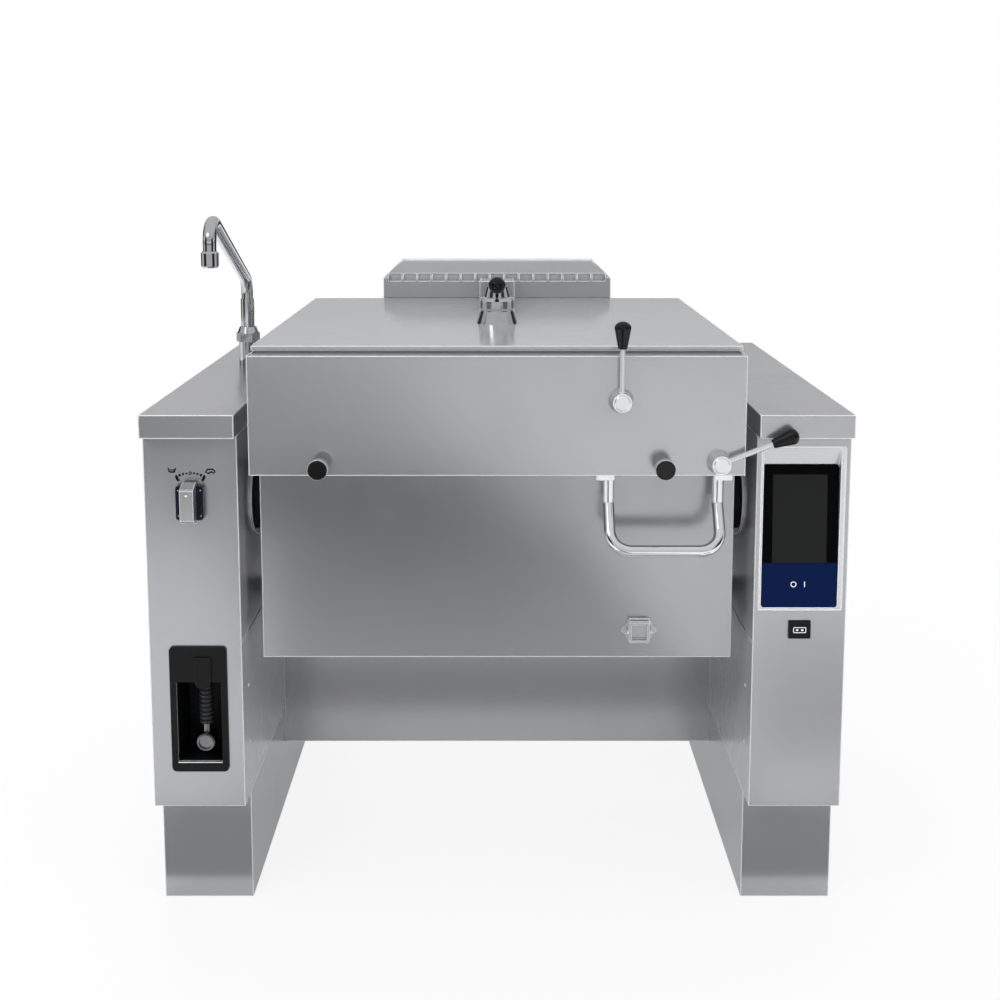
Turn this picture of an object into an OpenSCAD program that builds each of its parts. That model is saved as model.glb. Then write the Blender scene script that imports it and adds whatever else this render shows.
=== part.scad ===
// Pressure tilting bratt pan: a pan on two trunnions between two pillars, with a sealed,
// spring-balanced lid, a water tap, a pull-out spray and a touch panel.
// Millimetres, +Z up. In the modules Y is counted from the front edge of the worktops;
// at_front() moves it so that the origin is on the floor below the middle of the machine.

/* [Stand] */
// Width over both pillars
machine_w = 1200; // [1160:10:1400]
// Depth of the worktops
machine_d = 900; // [890:10:1000]
// Height of the worktops above the floor
worktop_z = 900; // [880:5:960]
// Height of the folded edge of a worktop
worktop_t = 40; // [30:1:50]
// Width of the fold under the edge of a worktop
worktop_fold = 50; // [45:1:60]
// How far a worktop stands out in front of its pillar
front_overhang = 22; // [18:1:26]
// How far a worktop stands out behind its pillar
back_overhang = 20; // [18:1:35]
// Width of one pillar
pillar_w = 159; // [156:1:190]
// Height of a plinth
plinth_h = 200; // [150:10:220]
// How far a plinth stands behind the front of its pillar
plinth_setback = 53; // [30:1:80]
// How far a plinth stands in front of the back of its pillar
plinth_back = 30; // [10:1:80]
// Width of the fold under a plinth
plinth_fold = 25; // [15:1:40]
// Thickness of the cladding sheet
sheet = 2; // [1.5:0.1:2.5]
// Height of the seam across the inner side of a pillar
seam_z = 495; // [450:5:520]
// Width of the seams between panels
seam_gap = 1.5; // [0.5:0.1:3]
// Side of the square tubes of a pillar's frame
post = 25; // [20:1:28]
// How far the frame's front tubes stand behind the pillar's front
post_setback = 28; // [26:1:40]
// Number of air slots in the back of a pillar
vent_count = 8; // [2:1:10]
// Distance of the bridge behind the front of the worktops
bridge_y = 453; // [440:1:480]
// Height of the bridge's underside
bridge_z = 122; // [100:1:160]
// Depth of the bridge
bridge_d = 107; // [80:1:140]
// Height of each tube inside the bridge
bridge_tube = 60; // [40:1:90]
// Gap between the bridge and the pan
bridge_gap = 10; // [8:1:20]

/* [Trunnions and tilt drive] */
// Height of the turning axis below the underside of the worktops
axis_drop = 142; // [136:1:160]
// Distance of the turning axis behind the front of the worktops
axis_y = 200; // [195:1:215]
// Radius of the trunnion shafts
shaft_r = 30; // [25:1:32]
// Radius of the cable way in the trunnion shafts
shaft_bore_r = 18; // [12:1:20]
// Radius of the flange on a trunnion shaft
flange_r = 60; // [50:1:70]
// Thickness of that flange
flange_t = 12; // [8:1:20]
// Radius of the black seal on each trunnion
seal_r = 65; // [60:1:70]
// Gap between a seal and the pillar
seal_gap = 3.3; // [2:0.1:3.5]
// Width of the ring around a seal
collar_w = 10; // [6:1:20]
// How far that ring stands out of the pillar
collar_t = 4; // [2:0.5:5]
// Length of a trunnion bearing
bearing_l = 28; // [20:1:32]
// Thickness of the plate that carries a bearing
bearing_plate = 8; // [6:1:10]
// Tooth size of the tilt gears, their pitch diameter divided by their teeth
gear_module = 3.75; // [3.5:0.25:3.75]
// Teeth that a full circle of the sector gear would have
sector_teeth = 64; // [60:4:64]
// Teeth of the pinion
pinion_teeth = 16; // [16:1:16]
// Width of the gear teeth
gear_w = 16; // [12:1:20]
// Play between the teeth
backlash = 0.4; // [0.3:0.05:0.6]
// Direction from the trunnion to the pinion, in degrees
drive_angle = -30; // [-35:1:-25]
// Radius of the pinion's shaft
drive_shaft_r = 10; // [8:1:12]
// Width and height of the bearing's plate
bearing_w = 130; // [110:1:160]
// Wall of the bearing and of the gear's hub around the shaft
hub_wall = 16; // [12:1:16]
// Width and height of the gearbox
gearbox_w = 90; // [80:1:90]
// Length of the gearbox along the pinion's shaft
gearbox_l = 50; // [44:1:50]
// Length of the motor below the gearbox
motor_l = 110; // [80:1:130]
// Radius of the motor's body
motor_r = 22; // [20:0.5:22]

/* [Pan] */
// Gap between the pan and a pillar
pan_gap = 30; // [28:1:40]
// Distance of the pan's front behind the front of the worktops
pan_y = 65; // [65:1:75]
// Depth of the pan's casing
pan_d = 775; // [760:5:785]
// Height of the rim above the turning axis
rim_rise = 122; // [118:1:140]
// Depth of the casing's underside below the turning axis
pan_drop = 263; // [255:1:268]
// Distance from the pan's side to the inside of the vessel
vessel_side = 71; // [61:1:111]
// Distance from the inside of the vessel to the pan's back
vessel_rear = 80; // [70:1:160]
// Height inside the vessel
vessel_h = 250; // [220:5:255]
// Radius of the vessel's inner edges
vessel_r = 50; // [30:1:60]
// Thickness of the vessel's walls
vessel_wall = 4; // [3:0.5:6]
// Thickness of the vessel's floor
vessel_floor = 12; // [10:1:15]
// Distance from the pan's front to the inside of the vessel
vessel_y = 55; // [50:1:65]
// Thickness of the rim plate
deck_t = 4; // [3:0.5:6]
// Height of the pouring edge in front of the rim
pour_h = 18; // [12:1:30]
// Number of heating elements under the vessel
heater_count = 6; // [4:1:7]
// Gap between two heating elements
heater_gap = 20; // [12:1:30]
// Thickness of a heating element
heater_t = 12; // [8:1:14]
// Thickness of the insulation under the heating elements
insulation_t = 30; // [20:1:34]
// Height of the cross beams under the insulation
beam_h = 60; // [40:1:60]
// Thickness of the cradle's side plates
cradle_t = 10; // [8:1:12]

/* [Probe socket] */
// Distance of the socket from the pan's right side
socket_side = 162; // [111:1:261]
// Height of the socket above the pan's underside
socket_rise = 50; // [40:1:80]
// Width of the socket
socket_w = 35; // [30:1:40]
// Height of the socket
socket_h = 40; // [34:1:46]
// How far the socket stands out of the pan
socket_d = 12; // [8:1:16]

/* [Lid] */
// How far the lid stands out beside the pan
lid_over = 6; // [4:1:12]
// How far the lid stands out behind the pan
lid_behind = 4; // [2:1:6]
// Height of the lid above the rim
lid_h = 160; // [150:1:180]
// Gap between the lid's underside and the rim
lid_gap = 2; // [1.5:0.1:3]
// Depth of the box in front of the pan
apron_d = 58; // [50:1:58]
// Depth of that box below the rim
apron_drop = 43; // [40:1:50]
// Gap between that box and the pan
apron_gap = 7; // [6:1:9]
// Thickness of the cover plate on the lid
cover_t = 8; // [6:0.5:12]
// Height of the shadow gap below the cover plate
cover_gap = 3; // [2:0.5:5]
// How far that gap is let in
cover_inset = 6; // [4:1:10]
// Distance of the cover plate behind the lid's front
cover_y = 43; // [30:1:60]
// Width of the lid's seal
gasket_w = 14; // [10:1:16]
// Height of the lid's seal
gasket_h = 13.7; // [10:0.1:18]
// Gap between the seal and the rim
gasket_gap = 0.3; // [0.2:0.05:0.6]
// Distance of the seal from the inside of the vessel
gasket_out = 12; // [8:1:20]

/* [Lid hinge] */
// Distance of the hinge behind the lid
hinge_back = 31; // [29:1:31]
// Height of the hinge above the rim
hinge_rise = 90; // [80:1:100]
// Radius of the hinge shaft
hinge_r = 12; // [10:1:14]
// Radius of the eyes around the hinge shaft
hinge_eye_r = 24; // [20:1:24]
// Distance of the lid's hinge arms from the lid's sides
hinge_side = 87; // [67:1:117]
// Width of a hinge arm
arm_w = 20; // [16:1:30]
// Thickness of each hinge bracket on the pan
bracket_t = 12; // [8:1:16]
// Gap beside a hinge arm
arm_gap = 1; // [0.5:0.1:2]
// Height of the brackets' feet on the pan's back
bracket_h = 156; // [130:1:180]
// Depth of the brackets at their feet
bracket_d = 30; // [24:1:34]
// Radius of the wire of the balance springs
spring_wire_r = 4; // [3:0.5:4]
// Number of turns of each balance spring
spring_turns = 12; // [6:1:14]
// Width of the block that holds the springs in the middle
anchor_w = 30; // [20:1:50]

/* [Steam duct and hood] */
// Width of the duct on the lid
duct_w = 72; // [60:1:90]
// Length of the duct
duct_l = 310; // [250:5:380]
// Height of the duct at its front
duct_front_h = 66; // [50:1:80]
// Height of the duct at the hood
duct_back_h = 46; // [30:1:46]
// Width of the hood
hood_w = 522; // [480:1:560]
// Depth of the hood
hood_d = 50; // [40:1:50]
// Gap between the hood and the lid
hood_gap = 6; // [4:1:6]
// Height of the hood's front fold above the lid's cover
hood_fold_h = 46; // [46:1:60]
// Height of the hood's slope
hood_slope_h = 41; // [30:1:50]
// Depth of the hood below the top of the lid's box
hood_drop = 15; // [8:1:18]
// Number of slots along the hood
slot_count = 15; // [10:1:15]
// Width of one slot
slot_w = 28.5; // [20:0.5:29]
// Distance from slot to slot
slot_pitch = 33.4; // [32:0.1:34]
// Height of the slots in the hood's front
slot_front_h = 7; // [4:1:12]
// Depth of the slots in the hood's slope
slot_top_d = 12; // [8:1:16]
// Distance of the hood's two feet from its ends
foot_side = 81; // [60:1:120]
// Width of a foot
foot_w = 40; // [20:1:60]

/* [Lid handle and bumpers] */
// Radius of the handle's tube
handle_r = 10; // [8:0.5:12]
// Distance of the handle's middle from the lid's right side
handle_side = 135; // [127:1:167]
// Distance between the handle's legs
handle_w = 185; // [150:1:200]
// Distance of the handle's legs behind the lid's front
handle_y = 20; // [18:1:30]
// Length of the upright part of the legs
handle_leg = 42; // [30:1:60]
// How far the grip bar hangs below the upright part
handle_fall = 70; // [50:1:90]
// How far the grip bar stands in front of the legs
handle_reach = 48; // [30:1:50]
// Radius of the handle's bends
handle_bend = 35; // [25:1:45]
// Thickness of the plates that hold the handle
handle_plate_t = 10; // [6:1:14]
// Width of those plates
handle_plate_w = 33; // [28:1:45]
// Distance of the left bumper from the lid's left side
left_bumper_side = 121; // [60:1:160]
// Distance of the right bumper from the lid's right side
right_bumper_side = 139; // [132:1:150]
// Height of the bumpers above the lid's lower edge
bumper_rise = 19; // [17:1:24]
// Radius of a bumper's rubber cap
bumper_r = 16.5; // [12:0.5:20]
// Thickness of that cap
bumper_t = 14; // [8:1:20]
// Radius of a bumper's stem
bumper_stem_r = 6; // [4:0.5:8]
// How far a bumper stands out of the lid
bumper_reach = 45; // [40:1:60]

/* [Levers] */
// Distance of the locking lever from the lid's right side
lock_side = 44; // [41:1:57]
// Height of the locking lever above the lid's lower edge
lock_rise = 23; // [22:1:30]
// Angle of the locking lever above the level
lock_angle = 22; // [15:1:30]
// Length of the locking lever
lock_l = 138; // [125:1:142]
// Distance of the steam lever from the lid's right side
steam_side = 210; // [202:1:227]
// Depth of the steam lever below the lid's front ledge
steam_drop = 75; // [60:1:85]
// Length of the steam lever
steam_l = 135; // [120:1:138]
// Radius of a lever's hub at the lid
hub_r = 21.5; // [18:0.5:22]
// Radius of a lever's hub at its front
hub_front_r = 15.5; // [13:0.5:17]
// Length of a lever's hub
hub_l = 27; // [22:1:32]
// Radius of a lever's spindle
spindle_r = 8; // [6:0.5:9]
// Radius of a lever's rod
lever_rod_r = 4.5; // [3:0.5:5]
// Length of a lever's grip
grip_l = 46; // [40:1:60]
// Radius of a grip at its foot
grip_foot_r = 7.75; // [6:0.25:9]
// Radius of a grip at its head
grip_head_r = 14; // [12:0.5:16]
// Thickness of the cam inside the lid
cam_t = 8; // [6:1:12]

/* [Safety valve] */
// Distance of the valve behind the lid's front
valve_y = 370; // [300:5:420]
// Radius of the valve's foot
valve_foot_r = 39.5; // [34:0.5:44]
// Radius of the valve's barrel
valve_r = 34; // [28:0.5:36]
// Height of the valve's body
valve_h = 71; // [66:1:84]
// Radius of the ball on the valve's lever
ball_r = 16; // [13:0.5:17]
// Length of the valve's lever
valve_lever_l = 65; // [56:1:90]

/* [Tap] */
// Distance of the tap behind the front of the worktops
tap_y = 566; // [500:1:620]
// Radius of the tap's foot
tap_foot_r = 19.3; // [17:0.1:22]
// Height of the tap's foot
tap_foot_h = 49; // [40:1:60]
// Radius of the tap's nut
tap_nut_r = 24.5; // [22:0.5:28]
// Height of the tap's nut
tap_nut_h = 31; // [25:1:36]
// Radius of the swivelling spout
spout_r = 12; // [10:0.5:13]
// Radius of the spout's collar
spout_collar_r = 13.75; // [13:0.25:15]
// Height of the upright start of the spout above the worktop
spout_rise = 150; // [130:1:180]
// Height of the spout's top above the worktop
spout_top = 324; // [300:1:360]
// Reach of the spout
spout_reach = 400; // [330:5:420]
// Radius of the spout's bends
spout_bend = 38; // [30:1:48]
// Direction that the spout stands in, away from straight forward
spout_turn = 1.7; // [0:0.1:5]
// Radius of the outlet on the spout
outlet_r = 15.5; // [14:0.5:18]
// Length of the outlet
outlet_l = 29; // [22:1:36]
// Height of the outlet's mouth above the worktop
outlet_z = 234; // [220:1:244]

/* [Tilt switch] */
// Depth of the switch below the underside of the worktops
knob_drop = 113; // [105:1:130]
// Width of the knob's block
knob_w = 47; // [40:1:52]
// Height of the knob's block
knob_h = 59; // [52:1:66]
// Thickness of the knob's block
knob_t = 12; // [8:1:16]
// Width of the knob's grip
knob_grip_w = 23; // [18:1:28]
// Height of the knob's grip at its foot
knob_grip_h = 71; // [66:1:76]
// Height of the knob's grip at its front
knob_tip_h = 57; // [50:1:60]
// How far the knob stands out of the pillar
knob_reach = 35; // [30:1:38]
// Radius of the switch's spindle
knob_spindle_r = 5; // [4:0.5:6]

/* [Spray] */
// How far the spray's middle is from the middle of the pillar
spray_shift = 4; // [0:0.5:6]
// Height of the lower edge of the spray's frame
spray_z = 265; // [240:1:280]
// Width of the spray's frame
spray_w = 99; // [96:1:110]
// Height of the spray's frame
spray_h = 226; // [220:1:240]
// How far the frame stands out of the pillar
spray_frame_t = 4; // [2:0.5:6]
// Radius of the frame's corners
spray_corner_r = 8; // [4:1:12]
// Width of the recess
recess_w = 78; // [74:1:80]
// Height of the recess
recess_h = 144.5; // [140:0.5:150]
// Depth of the recess
recess_d = 95; // [90:1:110]
// Height of the recess's lower edge in the frame
recess_rise = 18; // [14:1:22]
// How far the spray head's middle is from the frame's middle
head_shift = 8.5; // [0:0.5:10]
// Width of the spray's head
head_w = 28; // [24:1:32]
// Height of the spray's head
head_h = 56; // [52:1:60]
// How far the head reaches down into the recess
head_overlap = 11.5; // [8:0.5:16]
// Gap around the head in its slot
head_gap = 0.3; // [0.2:0.05:0.6]
// Radius of the coil below the head
coil_r = 12.5; // [10:0.5:14]
// Number of turns of that coil
coil_turns = 9; // [6:1:11]
// Height of that coil
coil_h = 71; // [60:1:74]
// Radius of the spray's nozzle
nozzle_r = 15.5; // [13:0.5:17]
// Length of the neck between the coil and the nozzle
nozzle_neck = 14; // [8:1:14]
// Radius of the spray's hose
hose_r = 7; // [5:0.5:8]
// Length of the hose in the pillar
hose_l = 230; // [180:5:260]

/* [Touch panel] */
// Depth of the panel's frame below the underside of the worktops
panel_drop = 19; // [12:1:24]
// Width of the panel's frame
panel_w = 142.5; // [136:0.5:146]
// Height of the panel's frame
panel_h = 285; // [270:1:300]
// Depth of the panel's frame
panel_d = 23; // [22:1:25]
// Height of the glass
glass_h = 249; // [240:1:256]
// Width of the glass
glass_w = 131; // [120:1:132]
// Height of the glass above the frame's lower edge
glass_rise = 4; // [3:1:10]
// Thickness of the glass
glass_t = 5; // [3:0.5:6]
// How far the top of the glass leans back
glass_lean = 13.5; // [8:0.5:15]
// How far the glass is set from the middle of the pillar towards the pan
glass_shift = 2; // [0:0.5:3]

/* [Data port] */
// Height of the port's flap above the floor
port_z = 506; // [480:1:515]
// Width of the flap
port_w = 37.6; // [34:0.1:42]
// Height of the flap
port_h = 31.5; // [28:0.1:36]
// How far the flap stands out of the pillar
port_t = 4.5; // [4.4:0.1:5.5]
// Thickness of the plate behind the flap
port_plate = 1; // [0.6:0.1:1.1]

/* [Connections] */
// Radius of the water inlet's stub
inlet_r = 10.5; // [8:0.5:13]
// Length of that stub
inlet_l = 16; // [10:1:17]
// Radius of the hole in the cable gland
gland_bore_r = 12; // [8:0.5:14]
// Radius of the cable gland
gland_r = 20; // [18:0.5:24]
// Height of both connections above the floor
connection_z = 320; // [290:5:360]

/* [Hidden] */
$fn = 48;
// Play around a shaft or spindle that turns
run_fit = 0.05;
// Play around a piece that is fixed in a hole
seat_fit = 0.02;
// Far enough to cut right through a face
through = 1;
// How much slimmer a straight tube is than the bend it runs into
joint_step = 0.2;
// How far a straight tube runs into a bend
lap = 0.5;
// Room around a shaft where it passes through a sheet
shaft_room = 5;
// Wall of the square tubes of the bridge and the cradle
tube_wall = 4;
// How much slimmer the water pipe is inside the back panel
inlet_step = 0.5;
// Wall of the cable gland
gland_wall = 2;

// Places that follow from the sizes above
centre_y = (machine_d - bumper_reach) / 2;
gap_x = machine_w / 2 - pillar_w;
side_x = machine_w / 2;
pillar_cx = side_x - pillar_w / 2;
pillar_y = front_overhang;
pillar_back = machine_d - back_overhang;
pillar_top = worktop_z - worktop_t;
frame_x = gap_x + sheet;
post_y = pillar_y + post_setback;
axis_z = pillar_top - axis_drop;
bearing_post_y = 2 * axis_y - post_y - post;
bearing_x = frame_x + bearing_plate;
sector_r = gear_module * sector_teeth / 2;
pinion_r = gear_module * pinion_teeth / 2;
gear_x = bearing_x + bearing_l + 6;
drive_y = axis_y + (sector_r + pinion_r) * cos(drive_angle);
drive_z = axis_z + (sector_r + pinion_r) * sin(drive_angle);

pan_x = gap_x - pan_gap;
pan_back = pan_y + pan_d;
vessel_w = 2 * (pan_x - vessel_side);
vessel_d = pan_d - vessel_y - vessel_rear;
pan_z = axis_z - pan_drop;
rim_z = axis_z + rim_rise;
socket_x = pan_x - socket_side;
vessel_cy = pan_y + vessel_y + vessel_d / 2;
vessel_z = rim_z - vessel_h;
beam_top = vessel_z - vessel_floor - heater_t - insulation_t;
bridge_top = pan_z - bridge_gap;

lid_x = pan_x + lid_over;
hinge_x = lid_x - hinge_side;
handle_x = lid_x - handle_side;
bumper_xs = [left_bumper_side - lid_x, lid_x - right_bumper_side];
lock_x = lid_x - lock_side;
steam_x = lid_x - steam_side;
lid_y = pan_y - apron_gap - apron_d;
lid_back = pan_back + lid_behind;
lid_z = rim_z + lid_gap;
ledge_z = rim_z + lid_h;
cover_z = ledge_z + cover_gap + cover_t;
apron_z = rim_z - apron_drop;
hinge_y = lid_back + hinge_back;
hinge_z = rim_z + hinge_rise;
spring_r = hinge_r + run_fit + 1 + spring_wire_r;
hood_y = lid_back + hood_gap;
lock_z = apron_z + lock_rise;
steam_z = ledge_z - steam_drop;
lever_y = lid_y - hub_l * 0.62;

spray_x = -pillar_cx + spray_shift;
head_x = spray_x + head_shift;
recess_z = spray_z + recess_rise;
slot_top_z = recess_z + recess_h + head_h - head_overlap;
panel_z = pillar_top - panel_drop - panel_h;
knob_z = pillar_top - knob_drop;
knob_back = pillar_y - 0.5;
knob_inlet = 4;
pin_rise = 8;
spout_seat_z = tap_foot_h + tap_nut_h - 22;
coil_y = pillar_y + 19;
hose_y = pillar_y + 27;
port_pin_y = pillar_y - port_t + 1.75;
port_pin_z = port_z + port_h - 2.5;

// Moves a sub-part from the worktops' front edge to the middle of the machine
module at_front() { translate([0, -centre_y, 0]) children(); }

// Draws on the right (1) or, mirrored, on the left (-1)
module on_side(side) { mirror([side < 0 ? 1 : 0, 0, 0]) children(); }

// A level outline in Y and Z, drawn out along X
module along_x(x, w) { translate([x, 0, 0]) rotate([90, 0, 90]) linear_extrude(w) children(); }

// An upright outline in X and Z, drawn out along Y from y backwards
module along_y(y, l) { translate([0, y + l, 0]) rotate([90, 0, 0]) linear_extrude(l) children(); }

// Round bars along X and along Y
module bar_x(x, w, r) { translate([x, 0, 0]) rotate([0, 90, 0]) cylinder(r = r, h = w); }
module bar_y(y, l, r) { translate([0, y, 0]) rotate([-90, 0, 0]) cylinder(r = r, h = l); }

// A box between two corners
module span(a, b) { translate(a) cube(b - a); }

module rounded_rect(w, h, r) {
    square([w - 2 * r, h], center = true);
    square([w, h - 2 * r], center = true);
    for (x = [-1, 1], y = [-1, 1])
        translate([x * (w / 2 - r), y * (h / 2 - r)]) circle(r);
}

// A block with round upright corners and a round lower edge, open to the top
module basin(w, d, h, r) {
    translate([0, 0, h / 2]) cube([w - 2 * r, d - 2 * r, h], center = true);
    translate([0, 0, (h + r) / 2]) cube([w, d - 2 * r, h - r], center = true);
    translate([0, 0, (h + r) / 2]) cube([w - 2 * r, d, h - r], center = true);
    for (x = [-1, 1], y = [-1, 1]) translate([x * (w / 2 - r), y * (d / 2 - r), r]) {
        cylinder(r = r, h = h - r);
        sphere(r);
    }
    for (y = [-1, 1]) translate([r - w / 2, y * (d / 2 - r), r])
        rotate([0, 90, 0]) cylinder(r = r, h = w - 2 * r);
    for (x = [-1, 1]) translate([x * (w / 2 - r), r - d / 2, r])
        rotate([-90, 0, 0]) cylinder(r = r, h = d - 2 * r);
}

// A tray of folded sheet, upside down, with a fold of the given width under its edge
module folded_tray(w, d, h, fold) {
    difference() {
        cube([w, d, h]);
        translate([sheet, sheet, sheet]) cube([w - 2 * sheet, d - 2 * sheet, h - 2 * sheet]);
        translate([fold, fold, -through]) cube([w - 2 * fold, d - 2 * fold, h / 2]);
    }
}

// Pillars

module plinth(side) {
    color("silver") at_front() on_side(side)
        translate([gap_x, pillar_y + plinth_setback, 0])
            folded_tray(pillar_w, pillar_back - plinth_back - pillar_y - plinth_setback,
                        plinth_h, plinth_fold);
}

// Welded frame of square tubes with the plate that carries the trunnion bearing
module pillar_frame(side) {
    outer = side_x - sheet;
    rear = pillar_back - sheet;
    color("gray") at_front() on_side(side) {
        for (x = [frame_x, outer - post]) {
            for (y = [post_y, rear - post])
                span([x, y, plinth_h], [x + post, y + post, pillar_top]);
            for (z = [plinth_h, pillar_top - post])
                span([x, post_y, z], [x + post, rear, z + post]);
        }
        for (y = [post_y, rear - post], z = [plinth_h, pillar_top - post])
            span([frame_x, y, z], [outer, y + post, z + post]);
        span([frame_x, bearing_post_y, plinth_h], [frame_x + post, bearing_post_y + post, pillar_top]);
        difference() {
            span([frame_x, post_y, axis_z - bearing_w / 2 - 35],
                 [bearing_x, bearing_post_y + post, axis_z + bearing_w / 2 + 25]);
            translate([0, axis_y, axis_z])
                bar_x(frame_x - through, bearing_plate + 2 * through, shaft_r + shaft_room);
        }
        if (side > 0) motor_bracket();
    }
}

// Plate for the gearmotor, on a block that stands out of the bearing's post
module motor_bracket() {
    plate_t = 6;
    plate_x = gear_x + gear_w + 6;
    half = gearbox_w / 2 + 5;
    block_h = 35;
    foot_z = drive_z - pinion_r - gear_module - block_h - 10;
    difference() {
        span([plate_x, drive_y - half - 5, foot_z], [plate_x + plate_t, drive_y + half, drive_z + half]);
        translate([0, drive_y, drive_z])
            bar_x(plate_x - through, plate_t + 2 * through, drive_shaft_r + shaft_room);
    }
    span([frame_x + post, bearing_post_y, foot_z], [plate_x, bearing_post_y + post, foot_z + block_h]);
}

module front_sheet() {
    span([gap_x, pillar_y, plinth_h], [side_x, pillar_y + sheet, pillar_top]);
    for (z = [plinth_h, pillar_top - sheet])
        span([frame_x, pillar_y, z], [side_x - sheet, pillar_y + 14, z + sheet]);
}

module left_front_panel() {
    color("silver") at_front() difference() {
        on_side(-1) front_sheet();
        spray_opening(pillar_y - through, 2 * through + sheet, 0);
        translate([-pillar_cx, 0, knob_z]) bar_y(pillar_y - through, 2 * through + sheet, knob_spindle_r + 1);
    }
}

module right_front_panel() {
    color("silver") at_front() difference() {
        front_sheet();
        span([pillar_cx - panel_w / 2, pillar_y - through, panel_z],
             [pillar_cx + panel_w / 2, pillar_y + sheet + through, panel_z + panel_h]);
        span([pillar_cx - port_w / 2 + 3, pillar_y - through, port_z + 3],
             [pillar_cx + port_w / 2 - 3, pillar_y + sheet + through, port_z + port_h - 5]);
    }
}

// The outer panel, and on the pan's side a lower one and an upper one around the trunnion
module side_panels(side) {
    color("silver") at_front() on_side(side) {
        span([side_x - sheet, pillar_y + sheet, plinth_h], [side_x, pillar_back, pillar_top]);
        span([gap_x, pillar_y + sheet, plinth_h], [frame_x, pillar_back, seam_z - seam_gap / 2]);
        difference() {
            span([gap_x, pillar_y + sheet, seam_z + seam_gap / 2], [frame_x, pillar_back, pillar_top]);
            translate([0, axis_y, axis_z]) bar_x(gap_x - through, sheet + 2 * through, shaft_r + shaft_room);
        }
    }
}

module back_panel(side) {
    vent_drop = 80;
    vent_pitch = 14;
    vent_w = 80;
    vent_h = 5;
    color("silver") at_front() on_side(side) difference() {
        span([frame_x, pillar_back - sheet, plinth_h], [side_x - sheet, pillar_back, pillar_top]);
        for (i = [0 : vent_count - 1]) translate([pillar_cx, 0, pillar_top - vent_drop - vent_pitch * i])
            along_y(pillar_back - sheet - through, sheet + 2 * through) rounded_rect(vent_w, vent_h, 2.4);
        translate([pillar_cx, 0, connection_z])
            bar_y(pillar_back - sheet - through, sheet + 2 * through,
                  side < 0 ? inlet_r - inlet_step + seat_fit : gland_bore_r + gland_wall);
    }
}

module worktop(side) {
    color("silver") at_front() difference() {
        on_side(side) translate([gap_x, 0, pillar_top])
            folded_tray(pillar_w, machine_d, worktop_t, worktop_fold);
        if (side < 0) translate([-pillar_cx, tap_y, worktop_z - 2 * sheet])
            cylinder(r = tap_foot_r - 3 + seat_fit, h = 3 * sheet);
    }
}

// Bridge between the pillars

module bridge_cover() {
    color("silver") at_front() along_x(-gap_x, 2 * gap_x) difference() {
        translate([bridge_y, bridge_z]) square([bridge_d, bridge_top - bridge_z]);
        translate([bridge_y + sheet, bridge_z + sheet])
            square([bridge_d - 2 * sheet, bridge_top - bridge_z - 2 * sheet]);
    }
}

module bridge_beams() {
    color("gray") at_front()
        for (z = [bridge_z + sheet, bridge_top - sheet - bridge_tube])
            along_x(-gap_x, 2 * gap_x) difference() {
            translate([bridge_y + sheet, z]) square([bridge_d - 2 * sheet, bridge_tube]);
            translate([bridge_y + sheet + tube_wall, z + tube_wall])
                square([bridge_d - 2 * sheet - 2 * tube_wall, bridge_tube - 2 * tube_wall]);
        }
}

// Trunnions and tilt drive

module trunnion_bearings() {
    flange = 12;
    color("gray") at_front() for (side = [-1, 1]) on_side(side) translate([0, axis_y, axis_z])
        difference() {
            union() {
                along_x(bearing_x, flange) rounded_rect(bearing_w, bearing_w, 14);
                bar_x(bearing_x, bearing_l, shaft_r + hub_wall);
            }
            bar_x(bearing_x - through, bearing_l + 2 * through, shaft_r + run_fit);
        }
}

module trunnion_collars() {
    bore_r = seal_r + 1;
    color("gray") at_front() for (side = [-1, 1]) on_side(side) translate([0, axis_y, axis_z])
        difference() {
            bar_x(gap_x - collar_t, collar_t, bore_r + collar_w);
            bar_x(gap_x - collar_t - through, collar_t + 2 * through, bore_r);
        }
}

module trunnion_shafts() {
    flange_x = pan_x - sheet - cradle_t - flange_t;
    left_end = bearing_x + bearing_l + 3;
    right_end = gear_x + gear_w + 3;
    color("silver") at_front() for (side = [-1, 1]) on_side(side) translate([0, axis_y, axis_z])
        difference() {
            union() {
                bar_x(flange_x, flange_t, flange_r);
                bar_x(flange_x, (side > 0 ? right_end : left_end) - flange_x, shaft_r);
            }
            bar_x(flange_x - through, machine_w, shaft_bore_r);
        }
}

module trunnion_seals() {
    color("black") at_front() for (side = [-1, 1]) on_side(side) translate([0, axis_y, axis_z])
        rotate([0, 90, 0]) rotate_extrude() polygon([
            [shaft_r + seat_fit, pan_x], [seal_r, pan_x], [seal_r, gap_x - seal_gap - 2],
            [seal_r - 2, gap_x - seal_gap], [shaft_r + seat_fit, gap_x - seal_gap]]);
}

// Involute teeth: the angle between a tooth's middle and its flank at radius r
function involute(a) = tan(a) * 180 / PI - a;
function flank(r, teeth) = 90 / teeth - backlash / 4 / (gear_module * teeth / 2) * 180 / PI
    + involute(20) - involute(acos(min(1, gear_module * teeth / 2 * cos(20) / r)));
function tooth_radii(teeth) = let (p = gear_module * teeth / 2) [
    p - 1.25 * gear_module, max(p - 0.7 * gear_module, p * cos(20)),
    p - 0.3 * gear_module, p + 0.2 * gear_module, p + 0.6 * gear_module, p + gear_module];
function on_circle(r, a) = [r * cos(a), r * sin(a)];
function tooth(teeth, middle) = let (rs = tooth_radii(teeth)) concat(
    [for (r = rs) on_circle(r, middle - flank(r, teeth))],
    [for (i = [len(rs) - 1 : -1 : 0]) on_circle(rs[i], middle + flank(rs[i], teeth))]);

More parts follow.
